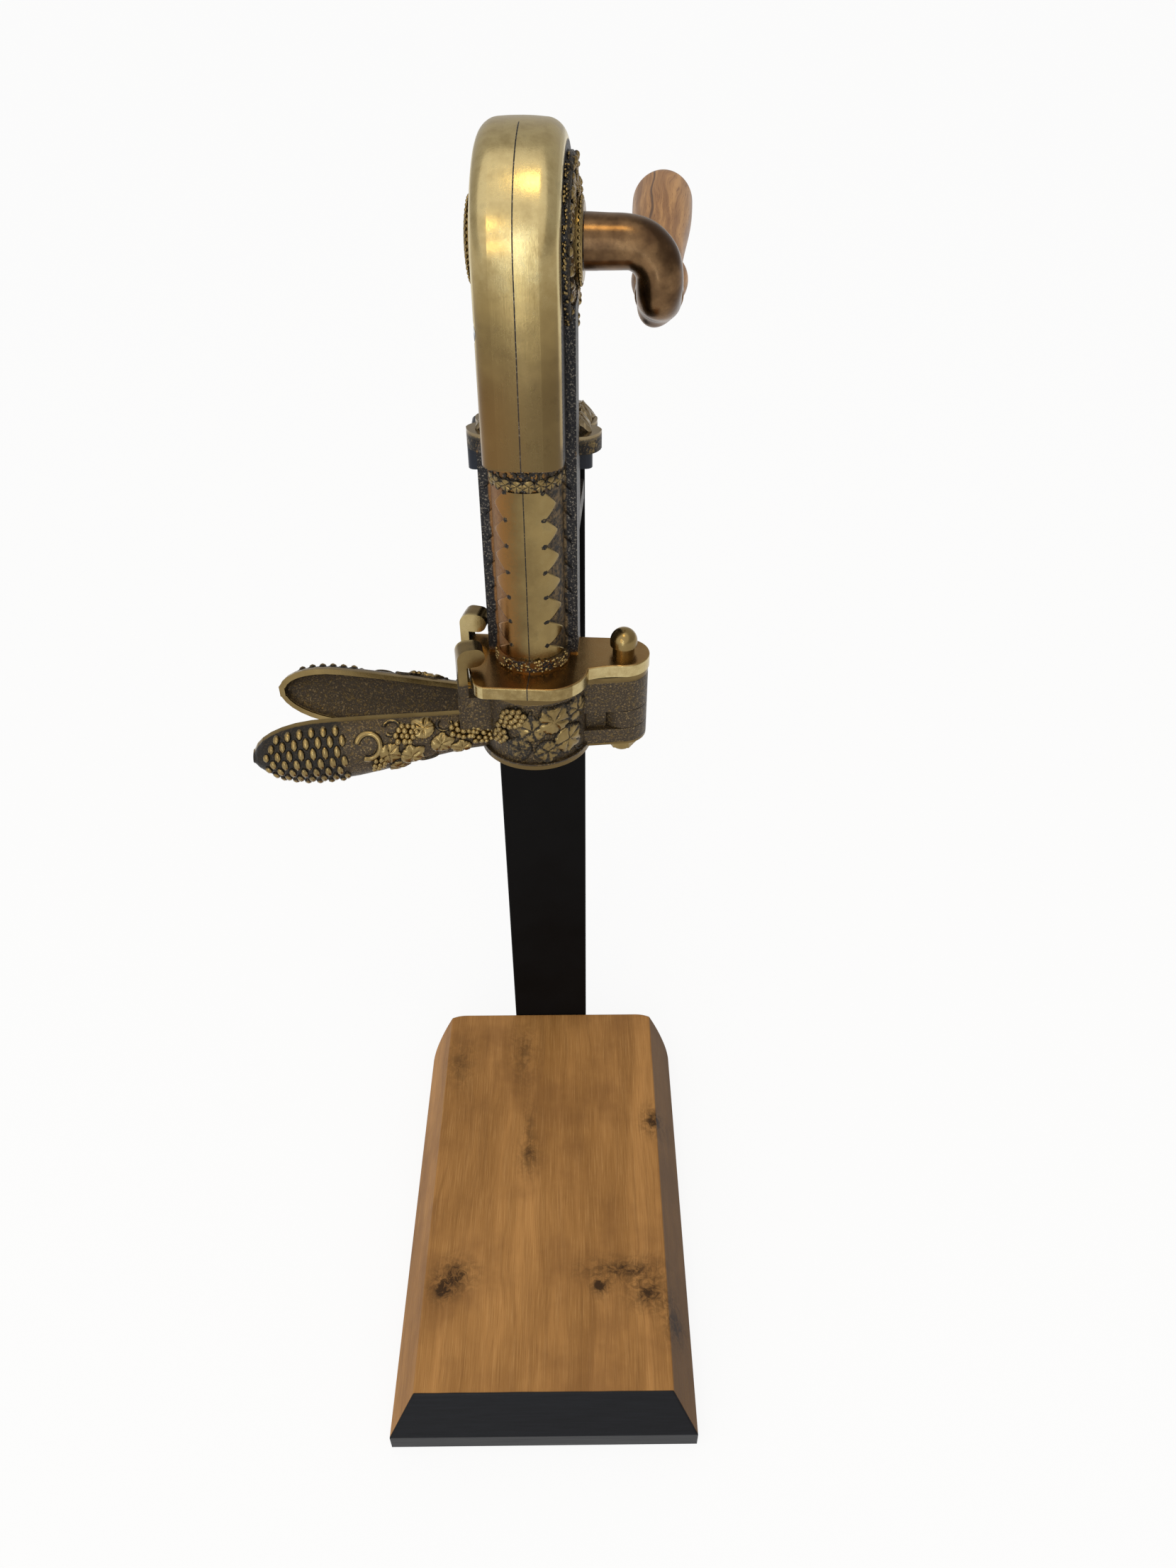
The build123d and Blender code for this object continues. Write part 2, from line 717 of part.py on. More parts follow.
def pad():
    return ring_half(ring_inner, ring_inner - pad_thick, jaw_bottom + 4, jaw_top - 4, jaw_split + 1.5)


def hinge_pin():
    pin = rod(hinge_radius, jaw_bottom - 8, 0.5, x=hinge_x)
    pin += rod(hinge_radius + 0.8, 0, acorn_neck, x=hinge_x)
    dome = make_face(Curve() + [Line((0, acorn_neck), (acorn_radius, acorn_neck)),
                                Line((acorn_radius, acorn_neck), (acorn_radius, acorn_neck + 2)),
                                CenterArc((0, acorn_neck + 2), acorn_radius, 0, 90),
                                Line((0, acorn_neck + 2 + acorn_radius), (0, acorn_neck))])
    return pin + Location((hinge_x, 0, 0)) * revolve(Plane.XZ * dome, Axis.Z)


def hinge_nut():
    six = RegularPolygon(hinge_radius * 1.75, 6) - Circle(hinge_radius + run_gap)
    return Location((hinge_x, 0, 0)) * top_slab(six, jaw_bottom - 5.5, jaw_bottom - 0.5)


# Clamp at the back of the column

def leaf_face():
    """Lobed vine leaf seen from above, its root on the column's back."""
    y0, h, l = column_back, leaf_half, leaf_length
    right = [(h * 0.78, y0 + l * 0.06), (h, y0 + l * 0.3), (h * 0.82, y0 + l * 0.44),
             (h * 0.9, y0 + l * 0.7), (h * 0.52, y0 + l * 0.76), (0, y0 + l)]
    edges = []
    for side in (-1, 1):
        for a, b in zip(right, right[1:]):
            bulge = ((a[0] + b[0]) / 2 + (b[1] - a[1]) * 0.14, (a[1] + b[1]) / 2 - (b[0] - a[0]) * 0.14)
            edges.append(ThreePointArc(*[(side * q[0], q[1]) for q in (a, bulge, b)]))
        edges.append(Line((side * 10, y0), (side * right[0][0], right[0][1])))
    edges.append(Line((-10, y0), (10, y0)))
    return make_face(Curve() + edges)


def clamp_bracket():
    back = column_back
    low = clamp_height - arm_drop - arm_thick
    body = block(-arm_half, arm_half, back, back + bracket_thick, low, block_top + leaf_thick)
    shoulder = block_top + leaf_thick - leaf_edge
    body += top_slab(leaf_face(), block_top, shoulder)
    body += Location((0, 0, shoulder)) * extrude(leaf_face(), leaf_edge, taper=leaf_slope)
    body += block(-arm_half, arm_half, back, arm_reach, low, low + arm_thick)
    body -= block(-2 * leaf_half, 2 * leaf_half, back + bracket_thick, back + 2 * leaf_length,
                  block_bottom - arm_drop, block_top)
    body -= rod(clamp_screw_radius + run_gap, low - 1, low + arm_thick + 1, y=clamp_y)
    for x, z in bolt_places():
        body -= rod(2.5 + run_gap, back - 1, back + bracket_thick + 1, "y", x=x, z=z)
    return body


def bracket_bolts():
    group = []
    for x, z in bolt_places():
        bolt = rod(2.5, column_back - 9.5, column_back + bracket_thick + 1, "y", x=x, z=z)
        bolt += rod(4.2, column_back + bracket_thick, column_back + bracket_thick + 2.6, "y", x=x, z=z)
        group.append(bolt.solid())
    return Compound(children=group)


def clamp_pad():
    top = block_bottom - 0.02
    disc = rod(clamp_pad_radius, top - clamp_pad_thick, top, y=clamp_y)
    disc = chamfer(disc.faces().sort_by(Axis.Z)[0].edges(), 1.0)
    return disc - rod(clamp_screw_radius - 1 + run_gap, top - clamp_pad_thick - 1, top - 1.5, y=clamp_y)


def clamp_screw():
    top = block_bottom - 0.02 - clamp_pad_thick - part_gap
    low = clamp_height - arm_drop - arm_thick - 22
    screw = rod(clamp_screw_radius, low, top, y=clamp_y)
    screw += rod(clamp_screw_radius - 1, top - 1, block_bottom - 2, y=clamp_y)
    knob = rod(clamp_knob_radius, low - 8, low + 2, y=clamp_y)
    for k in range(6):
        a = radians(60 * k + 30)
        r = clamp_knob_radius + 1
        knob -= rod(3.2, low - 9, low + 3, x=r * cos(a), y=clamp_y + r * sin(a))
    return screw + knob


def main():
    os.makedirs("parts", exist_ok=True)
    put(base_board(), "base_board")
    put(post(), "post")
    put(foot_screws(), "foot_screws")
    put(top_plate(), "top_plate")
    body = body_solid() - body_cavity()
    put(body_half(-1, body), "body_left", seat)
    put(body_half(1, body), "body_right", seat)
    put(body_screws(), "body_screws", seat)
    put(hub_flange(), "hub_flange", seat)
    put(hub_cap(), "hub_cap", seat)
    put(guide_bush(), "guide_bush", seat)
    put(gear_pin(idler_y, idler_z), "idler_pin", seat)
    put(gear_pin(pinion_y, pinion_z), "pinion_pin", seat)
    put(gear("drive", shaft_radius + run_gap), "drive_gear", seat)
    put(gear("idler", gear_pin_radius + run_gap), "idler_gear", seat)
    put(gear("pinion", gear_pin_radius + run_gap), "pinion", seat)
    put(rack(), "rack", seat)
    put(worm(), "worm", seat)
    put(worm_keeper(), "worm_keeper", seat)
    put(lever_arm(), "lever_arm", seat)
    put(lever_shaft(), "lever_shaft", seat)
    put(shaft_pin(), "shaft_pin", seat)
    put(grip_ferrule(), "grip_ferrule", seat)
    put(grip(), "grip", seat)
    put(grip_stud(), "grip_stud", seat)
    put(front_jaw(), "front_jaw", seat)
    put(rear_jaw(), "rear_jaw", seat)
    put(turned(pad(), front_open), "front_pad", seat)
    put(turned(mirror(pad(), Plane.XZ), rear_open), "rear_pad", seat)
    put(hinge_pin(), "hinge_pin", seat)
    put(hinge_nut(), "hinge_nut", seat)
    put(clamp_bracket(), "clamp_bracket", seat)
    put(bracket_bolts(), "bracket_bolts", seat)
    put(clamp_pad(), "clamp_pad", seat)
    put(clamp_screw(), "clamp_screw", seat)


main()
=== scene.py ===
# %% [markdown]
# # A lever wine opener on a wooden stand
#
# A cast brass uncorking machine is clamped to a black steel post that stands on a stained wooden board.
# The CAD model already has every working part in its place, so this file does what a finisher does: it
# adds the cast ornament, then stains, patinates and polishes each surface.

# %% Load the CAD model
import json
import math
import random

import bmesh
import bpy
from mathutils import Matrix, Vector


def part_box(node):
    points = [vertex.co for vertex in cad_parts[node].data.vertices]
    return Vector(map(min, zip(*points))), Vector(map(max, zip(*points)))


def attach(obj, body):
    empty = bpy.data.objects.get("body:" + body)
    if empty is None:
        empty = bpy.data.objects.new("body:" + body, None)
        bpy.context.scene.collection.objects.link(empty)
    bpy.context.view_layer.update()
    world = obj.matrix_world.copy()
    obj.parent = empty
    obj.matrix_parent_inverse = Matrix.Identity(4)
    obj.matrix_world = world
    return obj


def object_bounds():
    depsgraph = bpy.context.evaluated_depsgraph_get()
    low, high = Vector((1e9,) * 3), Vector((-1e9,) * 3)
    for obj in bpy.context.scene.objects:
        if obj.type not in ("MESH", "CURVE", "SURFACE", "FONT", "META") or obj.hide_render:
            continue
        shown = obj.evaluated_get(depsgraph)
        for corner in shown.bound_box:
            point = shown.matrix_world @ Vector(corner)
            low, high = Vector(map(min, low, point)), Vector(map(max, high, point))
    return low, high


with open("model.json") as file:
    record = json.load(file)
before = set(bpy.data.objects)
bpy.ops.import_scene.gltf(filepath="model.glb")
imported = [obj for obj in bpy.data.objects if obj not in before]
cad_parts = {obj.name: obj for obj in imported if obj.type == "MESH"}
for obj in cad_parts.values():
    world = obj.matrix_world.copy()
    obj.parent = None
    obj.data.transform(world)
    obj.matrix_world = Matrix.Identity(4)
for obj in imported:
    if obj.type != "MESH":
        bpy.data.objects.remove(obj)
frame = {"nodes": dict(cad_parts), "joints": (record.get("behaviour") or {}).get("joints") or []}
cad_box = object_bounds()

nodes = frame["nodes"]
joints = {joint["name"]: joint for joint in frame["joints"]}
mm = 0.001
print("nodes:", len(nodes), "box:", [round(v, 4) for corner in cad_box for v in corner])

# %% [markdown]
# ## Two frames to draw in
#
# The opener sits on its stand turned by a few degrees, so ornament is easier to place in the opener's own
# millimetres: x to the right, y to the back, z up from the top of its plate, with the column on the z axis.
# The turn comes from the lever's axis, the column's place from the corkscrew's axis, and the height from
# the body casting. The jaws have frames too, turned a little more about the hinge pin.

# %% Frames of the opener and its jaws
lever_axis = Vector(joints["lever_swing"]["axis"])
turn = math.atan2(lever_axis.y, lever_axis.x)
column_axis = Vector(joints["worm_spin"]["pos_m"])
plate_thick = 6.0
plate_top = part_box("body_left")[0].z + plate_thick * mm
to_world = Matrix.Translation((column_axis.x, column_axis.y, plate_top)) @ Matrix.Rotation(turn, 4, "Z")
opener = to_world @ Matrix.Scale(mm, 4)

hinge_x = 41.0
front_open = math.radians(9.5)
rear_open = math.radians(-3.5)


def about_hinge(angle):
    out = Matrix.Translation((hinge_x, 0, 0))
    return out @ Matrix.Rotation(angle, 4, "Z") @ out.inverted()


front_jaw = opener @ about_hinge(front_open)
rear_jaw = opener @ about_hinge(rear_open) @ Matrix.Diagonal((1, -1, 1, 1))
print("opener turned", round(math.degrees(turn), 2), "degrees, plate top at", round(plate_top, 4))

# %% [markdown]
# ## Shader maths as Python
#
# A finish is a small recipe of noise, masks and mixed colours. Wiring such a recipe by hand takes hundreds of
# clicks, so one class wraps a socket: adding or multiplying two of them adds a Math node, and its node method
# adds any other kind. The recipes below then read like formulas.


# %% A socket that can be calculated with
class Paint:
    """One value in a material's node tree."""

    def __init__(self, tree, socket=None):
        self.tree = tree
        self.socket = socket

    def node(self, kind, settings=None, sockets=None, out=0):
        """Add a node: first its settings, then the values or links of its sockets."""
        made = self.tree.nodes.new("ShaderNode" + kind)
        for name, value in (settings or {}).items():
            setattr(made, name, value)
        for name, value in (sockets or {}).items():
            if isinstance(value, Paint):
                self.tree.links.new(value.socket, made.inputs[name])
            else:
                made.inputs[name].default_value = value
        return Paint(self.tree, made.outputs[out])

    def math(self, operation, *values):
        return self.node("Math", {"operation": operation}, dict(enumerate(values)))

    def __add__(self, other):
        return self.math("ADD", self, other)

    def __sub__(self, other):
        return self.math("SUBTRACT", self, other)

    def __rsub__(self, other):
        return self.math("SUBTRACT", other, self)

    def __mul__(self, other):
        return self.math("MULTIPLY", self, other)

    def __truediv__(self, other):
        return self.math("DIVIDE", self, other)

    def __pow__(self, other):
        return self.math("POWER", self, other)

    def __abs__(self):
        return self.math("ABSOLUTE", self)

    __radd__ = __add__
    __rmul__ = __mul__

    def least(self, other):
        return self.math("MINIMUM", self, other)

    def most(self, other):
        return self.math("MAXIMUM", self, other)

    def rise(self, low, high):
        """0 below low, 1 above high, and a soft step between."""
        return self.node("MapRange", {"interpolation_type": "SMOOTHSTEP"},
                         {"Value": self, "From Min": low, "From Max": high})

    def fall(self, low, high):
        return 1 - self.rise(low, high)

    def mix(self, first, second):
        """This value, from 0 to 1, goes from the first colour to the second."""
        return self.node("Mix", {"data_type": "RGBA"}, {0: self, 6: first, 7: second}, out=2)

    def axes(self):
        return [self.node("SeparateXYZ", {}, {"Vector": self}, out=i) for i in range(3)]

    def at(self, x, y, z):
        """A point made of three values."""
        return self.node("CombineXYZ", {}, {"X": x, "Y": y, "Z": z})

    def stretch(self, x, y, z):
        return self.node("VectorMath", {"operation": "MULTIPLY"}, {0: self, 1: (x, y, z)})

    def noise(self, scale, detail=3.0, rough=0.55, twist=0.0):
        """Cloudy noise at this point, with scale in bumps per unit."""
        return self.node("TexNoise", {}, {"Vector": self, "Scale": scale, "Detail": detail,
                                          "Roughness": rough, "Distortion": twist})

    def bump(self, strength, distance):
        return self.node("Bump", {}, {"Height": self, "Strength": strength, "Distance": distance})


def colour(red, green, blue):
    """A colour as a paint shop writes it, 0 to 255, made linear for the shader."""
    linear = [((c / 255 + 0.055) / 1.055) ** 2.4 if c > 10 else c / 255 / 12.92 for c in (red, green, blue)]
    return (*linear, 1.0)


print("brass in linear light:", [round(c, 3) for c in colour(176, 152, 96)])

# %% [markdown]
# ## From recipe to material
#
# Every recipe gets the point on the surface in millimetres of a chosen frame, and gives back the values of
# the shader's sockets. A Mapping node set to Texture undoes the frame's place and turn, so the same recipe
# works for the opener, for a jaw or for the board.

# %% Material maker


def finish(name, recipe, place=Matrix.Scale(mm, 4), **fixed):
    """A material whose recipe reads points in the millimetres of a place."""
    material = bpy.data.materials.new(name)
    material.use_nodes = True
    tree = material.node_tree
    shader = tree.nodes["Principled BSDF"]
    paint = Paint(tree)
    spot, spin, size = place.decompose()
    point = paint.node("TexCoord", {}, {}, out=3)
    point = paint.node("Mapping", {"vector_type": "TEXTURE"},
                       {"Vector": point, "Location": spot, "Rotation": spin.to_euler(), "Scale": size})
    for socket, value in {**fixed, **recipe(point)}.items():
        if isinstance(value, Paint):
            tree.links.new(value.socket, shader.inputs[socket])
        else:
            shader.inputs[socket].default_value = value
    return material


def dress(material, *names):
    """Give CAD nodes a material."""
    for name in names:
        slots = nodes[name].data.materials
        slots.clear()
        slots.append(material)


print("material maker ready")

# %% [markdown]
# ## Camera
#
# The photograph looks down on the stand from the front, close enough that the head looks much larger than
# the board. The camera's place was fitted to the board's corners, the head and the post, so a wide lens
# close by gives the same strong perspective.

# %% Camera at the photograph's viewpoint
photo_height = 2212
focal_pixels = 1569.5
camera_spot = (0.020253, -0.359588, 0.633767)
look_down, look_right = 39.253, 0.584
camera_data = bpy.data.cameras.new("camera")
camera_data.sensor_fit = "VERTICAL"
camera_data.sensor_height = 24.0
camera_data.lens = focal_pixels / photo_height * camera_data.sensor_height
camera = bpy.data.objects.new("camera", camera_data)
camera.location = camera_spot
camera.rotation_euler = (math.radians(90 - look_down), 0, math.radians(-look_right))
bpy.context.scene.collection.objects.link(camera)
bpy.context.scene.camera = camera
print("lens", round(camera_data.lens, 2), "mm")

# %% [markdown]
# ## Stained board
#
# The board is a soft wood with its grain along the length, stained a warm brown and left with a satin sheen.
# Its knots take more stain and bend the grain round them, and its front bevel is painted black. Noise
# stretched along the length gives the fibres, a slower noise gives the broad figure, and each knot is a soft
# dark spot that also pushes the grain aside.

# %% Wood of the board
board_low, board_high = (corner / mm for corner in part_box("base_board"))
bevel_run, bevel_drop = 12.7, 21.0
knots = (
    # x, y, half width, half length, darkness
    (-11.5, 20.0, 7.0, 12.0, 0.5),
    (-12.0, 40.0, 5.0, 18.0, 0.3),
    (-50.0, -53.0, 11.0, 9.0, 0.85),
    (-56.0, -62.0, 7.0, 7.0, 0.85),
    (30.0, -60.5, 5.0, 5.5, 0.9),
    (44.0, -51.0, 24.0, 7.0, 0.7),
    (57.0, -65.0, 12.0, 9.0, 0.8),
    (66.0, 44.0, 8.0, 10.0, 0.85),
    (71.0, -80.0, 7.0, 12.0, 0.8),
    (-18.0, 96.0, 9.0, 26.0, 0.4),
    (-58.0, 88.0, 10.0, 18.0, 0.4),
)


def stained_wood(point):
    x, y, z = point.axes()
    wander = point.stretch(0.03, 0.008, 0.03).noise(1.0, 2.0) - 0.5
    ragged = point.noise(0.22, 5.0, 0.7, 1.0).rise(0.34, 0.62)
    knot_dark = 0
    bend = 0
    for kx, ky, wide, long, dark in knots:
        away = (((x - kx + wander * 7) / wide) ** 2 + ((y - ky) / long) ** 2) ** 0.5
        near = away.fall(0.0, 1.9)
        core = away.fall(0.2, 0.75)
        knot_dark = (near * ragged * 0.8 + core * 0.5) * dark + knot_dark
        bend = near * 4 + bend
    across = x + wander * 22 + bend
    figure = point.at(across * 0.06, y * 0.006, z * 0.05).noise(1.0, 3.0, 0.6, 0.3)
    fibre = point.at(x * 1.9 + bend * 0.4, y * 0.035, z * 1.2).noise(1.0, 4.0, 0.7)
    streak = point.at(across * 0.3, y * 0.009, z * 0.2).noise(1.0, 3.0, 0.6)
    cloud = point.noise(0.024, 4.0, 0.6)
    wood = figure.rise(0.34, 0.68).mix(colour(148, 105, 57), colour(176, 128, 74))
    wood = (streak.rise(0.46, 0.74) * 0.35).mix(wood, colour(108, 73, 39))
    wood = (fibre.rise(0.48, 0.75) * 0.55).mix(wood, colour(196, 150, 94))
    wood = (fibre.fall(0.25, 0.48) * 0.5).mix(wood, colour(108, 71, 37))
    wood = (cloud.rise(0.42, 0.72) * 0.5).mix(wood, colour(118, 80, 44))
    # Painted shade: the right bevel is painted a darker brown.
    shade = x.rise(board_high.x - bevel_run - 0.6, board_high.x - bevel_run + 0.8) * 0.75
    wood = shade.mix(wood, colour(66, 48, 29))
    wood = knot_dark.least(0.93).mix(wood, colour(42, 27, 15))
    slope = (y - board_low.y) * (bevel_drop / bevel_run) - (z - board_high.z + bevel_drop)
    paint = (slope + wander * 0.8).fall(0.6, 1.6).most(y.fall(board_low.y + 0.4, board_low.y + 1.0))
    brushed = point.at(x * 0.05, y * 0.9, z * 0.9).noise(1.0, 4.0)
    black = brushed.mix(colour(9, 9, 11), colour(24, 25, 30))
    skin = (fibre + streak * 0.6) * (1 - paint * 0.75) + brushed * paint * 0.5
    return {"Base Color": paint.mix(wood, black),
            "Roughness": (fibre * 0.16 + 0.42) * (1 - paint) + (brushed * 0.2 + 0.28) * paint,
            "Normal": skin.bump(0.16, 0.0005)}


wood_finish = finish("stained wood", stained_wood, **{"Specular IOR Level": 0.14})
dress(wood_finish, "base_board")
print("knots:", len(knots))

# %% [markdown]
# ## Black steel
#
# The post and the plate on top of it are flat bar with a baked coat, dull black on the post and a glossy
# blue-black on the plate. Black still needs something to show: a faint cloud in the gloss and the fine
# orange-peel of sprayed paint.

# %% Black coat of the post and its plate


def black_coat(point):
    cloud = point.noise(0.03, 3.0)
    peel = point.noise(0.9, 2.0)
    return {"Base Color": cloud.mix(colour(8, 8, 8), colour(17, 17, 18)),
            "Roughness": cloud * 0.2 + 0.42,
            "Normal": peel.bump(0.06, 0.0003)}


def blue_black(point):
    cloud = point.noise(0.05, 3.0)
    peel = point.noise(0.9, 2.0)
    return {"Base Color": cloud.mix(colour(10, 13, 20), colour(24, 33, 50)),
            "Roughness": cloud * 0.15 + 0.2,
            "Normal": peel.bump(0.05, 0.0003)}


dress(finish("black coat", black_coat, **{"Specular IOR Level": 0.06}), "post")
dress(finish("blue-black coat", blue_black, **{"Specular IOR Level": 0.3}), "top_plate")
print("black coats on the post and its top plate")

# %% [markdown]
# ## Brass, polished and patinated
#
# Old cast brass is two finishes in one. Where hands and cloths reach it, it is golden and glossy; where they
# don't, a brown-black patina stays in the grain of the casting. All the brass recipes share the colours and
# the same trick: a mask from 0, dark recess, to 1, rubbed bright, drives colour, gloss and grain together.

# %% Shared brass colours
pale_gold = colour(206, 188, 138)
old_gold = colour(152, 130, 84)
brown_brass = colour(104, 86, 55)
amber = colour(146, 100, 50)
deep_bronze = colour(64, 50, 33)
patina = colour(24, 20, 16)


def brass(point, rubbed, gold, dark=patina, speck=brown_brass):
    """Shader values of brass: rubbed is the polish mask, gold how golden the polished metal is."""
    cloud = point.noise(0.05, 3.0, 0.6)
    tarnish = point.noise(0.16, 4.0, 0.65)
    grain = point.noise(1.05, 3.0, 0.7)
    brushed = point.stretch(0.9, 0.9, 0.05).noise(1.6, 2.0)
    polished = (gold + (cloud - 0.5) * 0.8).rise(0.1, 0.9).mix(brown_brass, old_gold)
    polished = (gold + (tarnish - 0.5) * 0.6).rise(0.55, 1.25).mix(polished, pale_gold)
    polished = (tarnish.rise(0.55, 0.8) * 0.3).mix(polished, deep_bronze)
    recess = grain.rise(0.52, 0.68).mix(dark, speck)
    bright = (rubbed + (grain - 0.5) * 0.5).rise(0.3, 0.7)
    pits = grain * (1 - bright * 0.94) + brushed * 0.04
    return {"Base Color": bright.mix(recess, polished),
            "Roughness": (tarnish * 0.2 + brushed * 0.1 + 0.1) * bright + (0.55 - grain * 0.2) * (1 - bright),
            "Metallic": 0.5 + bright * 0.48,
            "Normal": pits.bump(0.55, 0.0007)}


print("brass recipe ready")

# %% [markdown]
# ## The body casting
#
# The body is cast in two halves that meet in a dark seam up the front. The head's band and the half-round
# column are polished. Painted light makes the head paler and more golden towards its top and front, and a
# painted reflection tints it amber low on its left. The sides of the head and the flanges beside the column
# keep their patina, the hollow behind the toothed edge is painted dark as shadow, with a painted amber
# reflection on its left, and the outer edges of the flanges are rubbed bright again. Where each of these
# starts is known from the CAD sizes, so masks on x, y and z paint them.

# %% Body finish
head_y, head_z = 18.0, 167.5
head_half, disc_step = 16.25, 1.75
column_half, column_centre = 15.0, -4.0


def body_brass(point):
    x, y, z = point.axes()
    wide = abs(x)
    side = wide.rise(16.0, 16.3) * z.rise(92, 98)
    strip = wide.rise(15.6, 16.4) * z.fall(150, 153) * z.rise(0.5, 3)
    edge = wide.rise(19.4, 19.9)
    from_axis = (x * x + (y - column_centre) ** 2) ** 0.5
    hollow = from_axis.rise(14.2, 14.8) * z.fall(93, 96) * z.rise(0.3, 2.5) * y.rise(-17.5, -15)
    ragged = point.noise(0.5, 4.0, 0.7)
    hem = z.rise(83, 85) * z.fall(95, 95.5)
    foot = z.rise(0.2, 1.5) * z.fall(5, 8)
    seam = wide.fall(0.12, 0.32) * y.fall(8, 14)
    dark = side.most(strip * (1 - edge)).most(hollow).most(hem * ragged.rise(0.46, 0.53)).most(seam)
    dark = dark.most(foot * ragged.rise(0.44, 0.52)).most(z.fall(-8, -5.6) * 0.6)
    line = wide.rise(14.7, 15.5) * z.rise(100, 105)
    plate_rim = z.fall(-0.7, -0.3)
    # Painted light: the head is painted paler and more golden towards its top and its front.
    top = (z + y.fall(-10, 10) * 10).rise(118, 205)
    gold = top * 0.85 + line * 0.5 + plate_rim * ragged * 0.45 + z.fall(0.2, 1.5) * 0.3 + edge * 0.3 + 0.12
    made = brass(point, 1 - dark, gold, colour(24, 23, 26), colour(124, 116, 104))
    # Painted shadow in the hollow behind the column's teeth, with a painted amber reflection on its left
    # side.
    behind = hollow * (1 - strip)
    rough = point.noise(0.42, 4.0, 0.75)
    shadow = rough.rise(0.4, 0.62).mix(colour(30, 24, 17), colour(104, 84, 54))
    shadow = (x.fall(-4, 4) * 0.65).mix(shadow, amber)
    made["Base Color"] = behind.mix(made["Base Color"], shadow)
    # An amber stain at the hem, the foot and the plate's top edge; low adds a painted reflection, amber on
    # the lower left of the head.
    amber_tint = hem.most(foot).most(z.rise(-0.4, -0.1) * z.fall(0.1, 0.6)) * (1 - dark)
    low = z.fall(112, 150) * z.rise(94, 97) * x.fall(-12, 6) * 0.25
    made["Base Color"] = (amber_tint * 0.5).most(low).mix(made["Base Color"], amber)
    return made


body_finish = finish("body brass", body_brass, opener)
dress(body_finish, "body_left", "body_right")
print("body finish on two halves")

# %% [markdown]
# ## Other castings and turned parts
#
# The lever arm is a plain brown bronze bar, smooth from handling. The hubs and the acorn-headed hinge pin are
# turned and keep a brighter polish, the clamp bracket is left as it came from the mould, and the hidden works
# are bare steel. The collar is lined with something soft and dark.

# %% Finishes of the smaller parts


def arm_bronze(point):
    cloud = point.noise(0.07, 4.0, 0.6)
    fine = point.noise(0.6, 3.0)
    shade = cloud.rise(0.3, 0.75).mix(colour(74, 54, 37), colour(134, 104, 72))
    return {"Base Color": (fine.rise(0.6, 0.8) * 0.4).mix(shade, deep_bronze),
            "Roughness": cloud * 0.2 + 0.16,
            "Normal": fine.bump(0.05, 0.0005)}


def turned_brass(point):
    return brass(point, point.noise(0.3, 3.0) * 0.3 + 0.72, point.noise(0.12) * 0.5 + 0.35)


def rough_bronze(point):
    x, y, z = point.axes()
    dome = z.rise(90, 93) * (point.noise(0.3, 3.0) * 0.4 + 0.75)
    worn = point.noise(0.11, 4.0, 0.6).rise(0.4, 0.7) * 0.6
    made = brass(point, dome.most(worn), point.noise(0.1) * 0.4 + 0.2)
    made["Base Color"] = (dome * 0.6).mix(made["Base Color"], colour(150, 136, 112))
    return made


def bare_steel(point):
    lathe = point.stretch(0.2, 0.2, 3.0).noise(1.0, 3.0)
    cloud = point.noise(0.15)
    return {"Base Color": cloud.mix(colour(120, 120, 122), colour(168, 168, 170)),
            "Roughness": lathe * 0.2 + 0.24,
            "Normal": lathe.bump(0.08, 0.0002)}


def soft_lining(point):
    nap = point.noise(2.5, 4.0, 0.7)
    return {"Base Color": nap.mix(colour(26, 22, 20), colour(58, 50, 44)),
            "Roughness": nap * 0.1 + 0.82,
            "Normal": nap.bump(0.4, 0.0004)}


arm_finish = finish("arm bronze", arm_bronze, opener, Metallic=1.0)
turned_finish = finish("turned brass", turned_brass, opener)
rough_finish = finish("rough bronze", rough_bronze, opener)
steel_finish = finish("bare steel", bare_steel, opener, Metallic=1.0)
lining_finish = finish("soft lining", soft_lining, opener)
dress(arm_finish, "lever_arm", "grip_ferrule")
dress(turned_finish, "hub_flange", "hub_cap", "hinge_pin", "hinge_nut", "guide_bush")
dress(rough_finish, "clamp_bracket")
dress(steel_finish, "foot_screws", "body_screws", "idler_pin", "pinion_pin", "drive_gear", "idler_gear",
      "pinion", "rack", "worm", "worm_keeper", "lever_shaft", "shaft_pin", "grip_stud", "bracket_bolts",
      "clamp_pad", "clamp_screw")
dress(lining_finish, "front_pad", "rear_pad")
print("five finishes on the smaller parts")

# %% [markdown]
# ## Oak grip
#
# The turned grip is oak with open pores and one dark streak. Its grain runs along its own axis, which leans
# up a little toward the back, so the recipe's frame leans with it before the noise is stretched.

# %% Grip wood
grip_lean = math.asin(0.191)
grip_start = (51, 34.4, 144.7)
grip_place = opener @ Matrix.Translation(grip_start) @ Matrix.Rotation(grip_lean, 4, "X")


def oak(point):
    x, y, z = point.axes()
    sway = point.stretch(0.05, 0.02, 0.05).noise(1.0, 2.0) - 0.5
    across = x + sway * 14
    ring = point.at(across * 0.32, y * 0.008, z * 0.2).noise(1.0, 3.0, 0.6, 0.4)
    pore = point.at(across * 2.6, y * 0.09, z * 2.6).noise(1.0, 3.0, 0.6)
    streak = abs(across + 2.5).fall(0.15, 0.9) * y.rise(30, 44) * z.rise(0, 3)
    wood = ring.rise(0.32, 0.7).mix(colour(132, 91, 52), colour(182, 136, 84))
    wood = (pore.rise(0.54, 0.72) * 0.7).mix(wood, colour(98, 60, 36))
    wood = (streak * 0.8).mix(wood, colour(62, 36, 22))
    return {"Base Color": wood, "Roughness": pore * 0.2 + 0.34, "Normal": pore.bump(0.2, 0.0004)}


dress(finish("oiled oak", oak, grip_place, **{"Coat Weight": 0.15, "Coat Roughness": 0.3}), "grip")
print("grip leans", round(math.degrees(grip_lean), 1), "degrees")

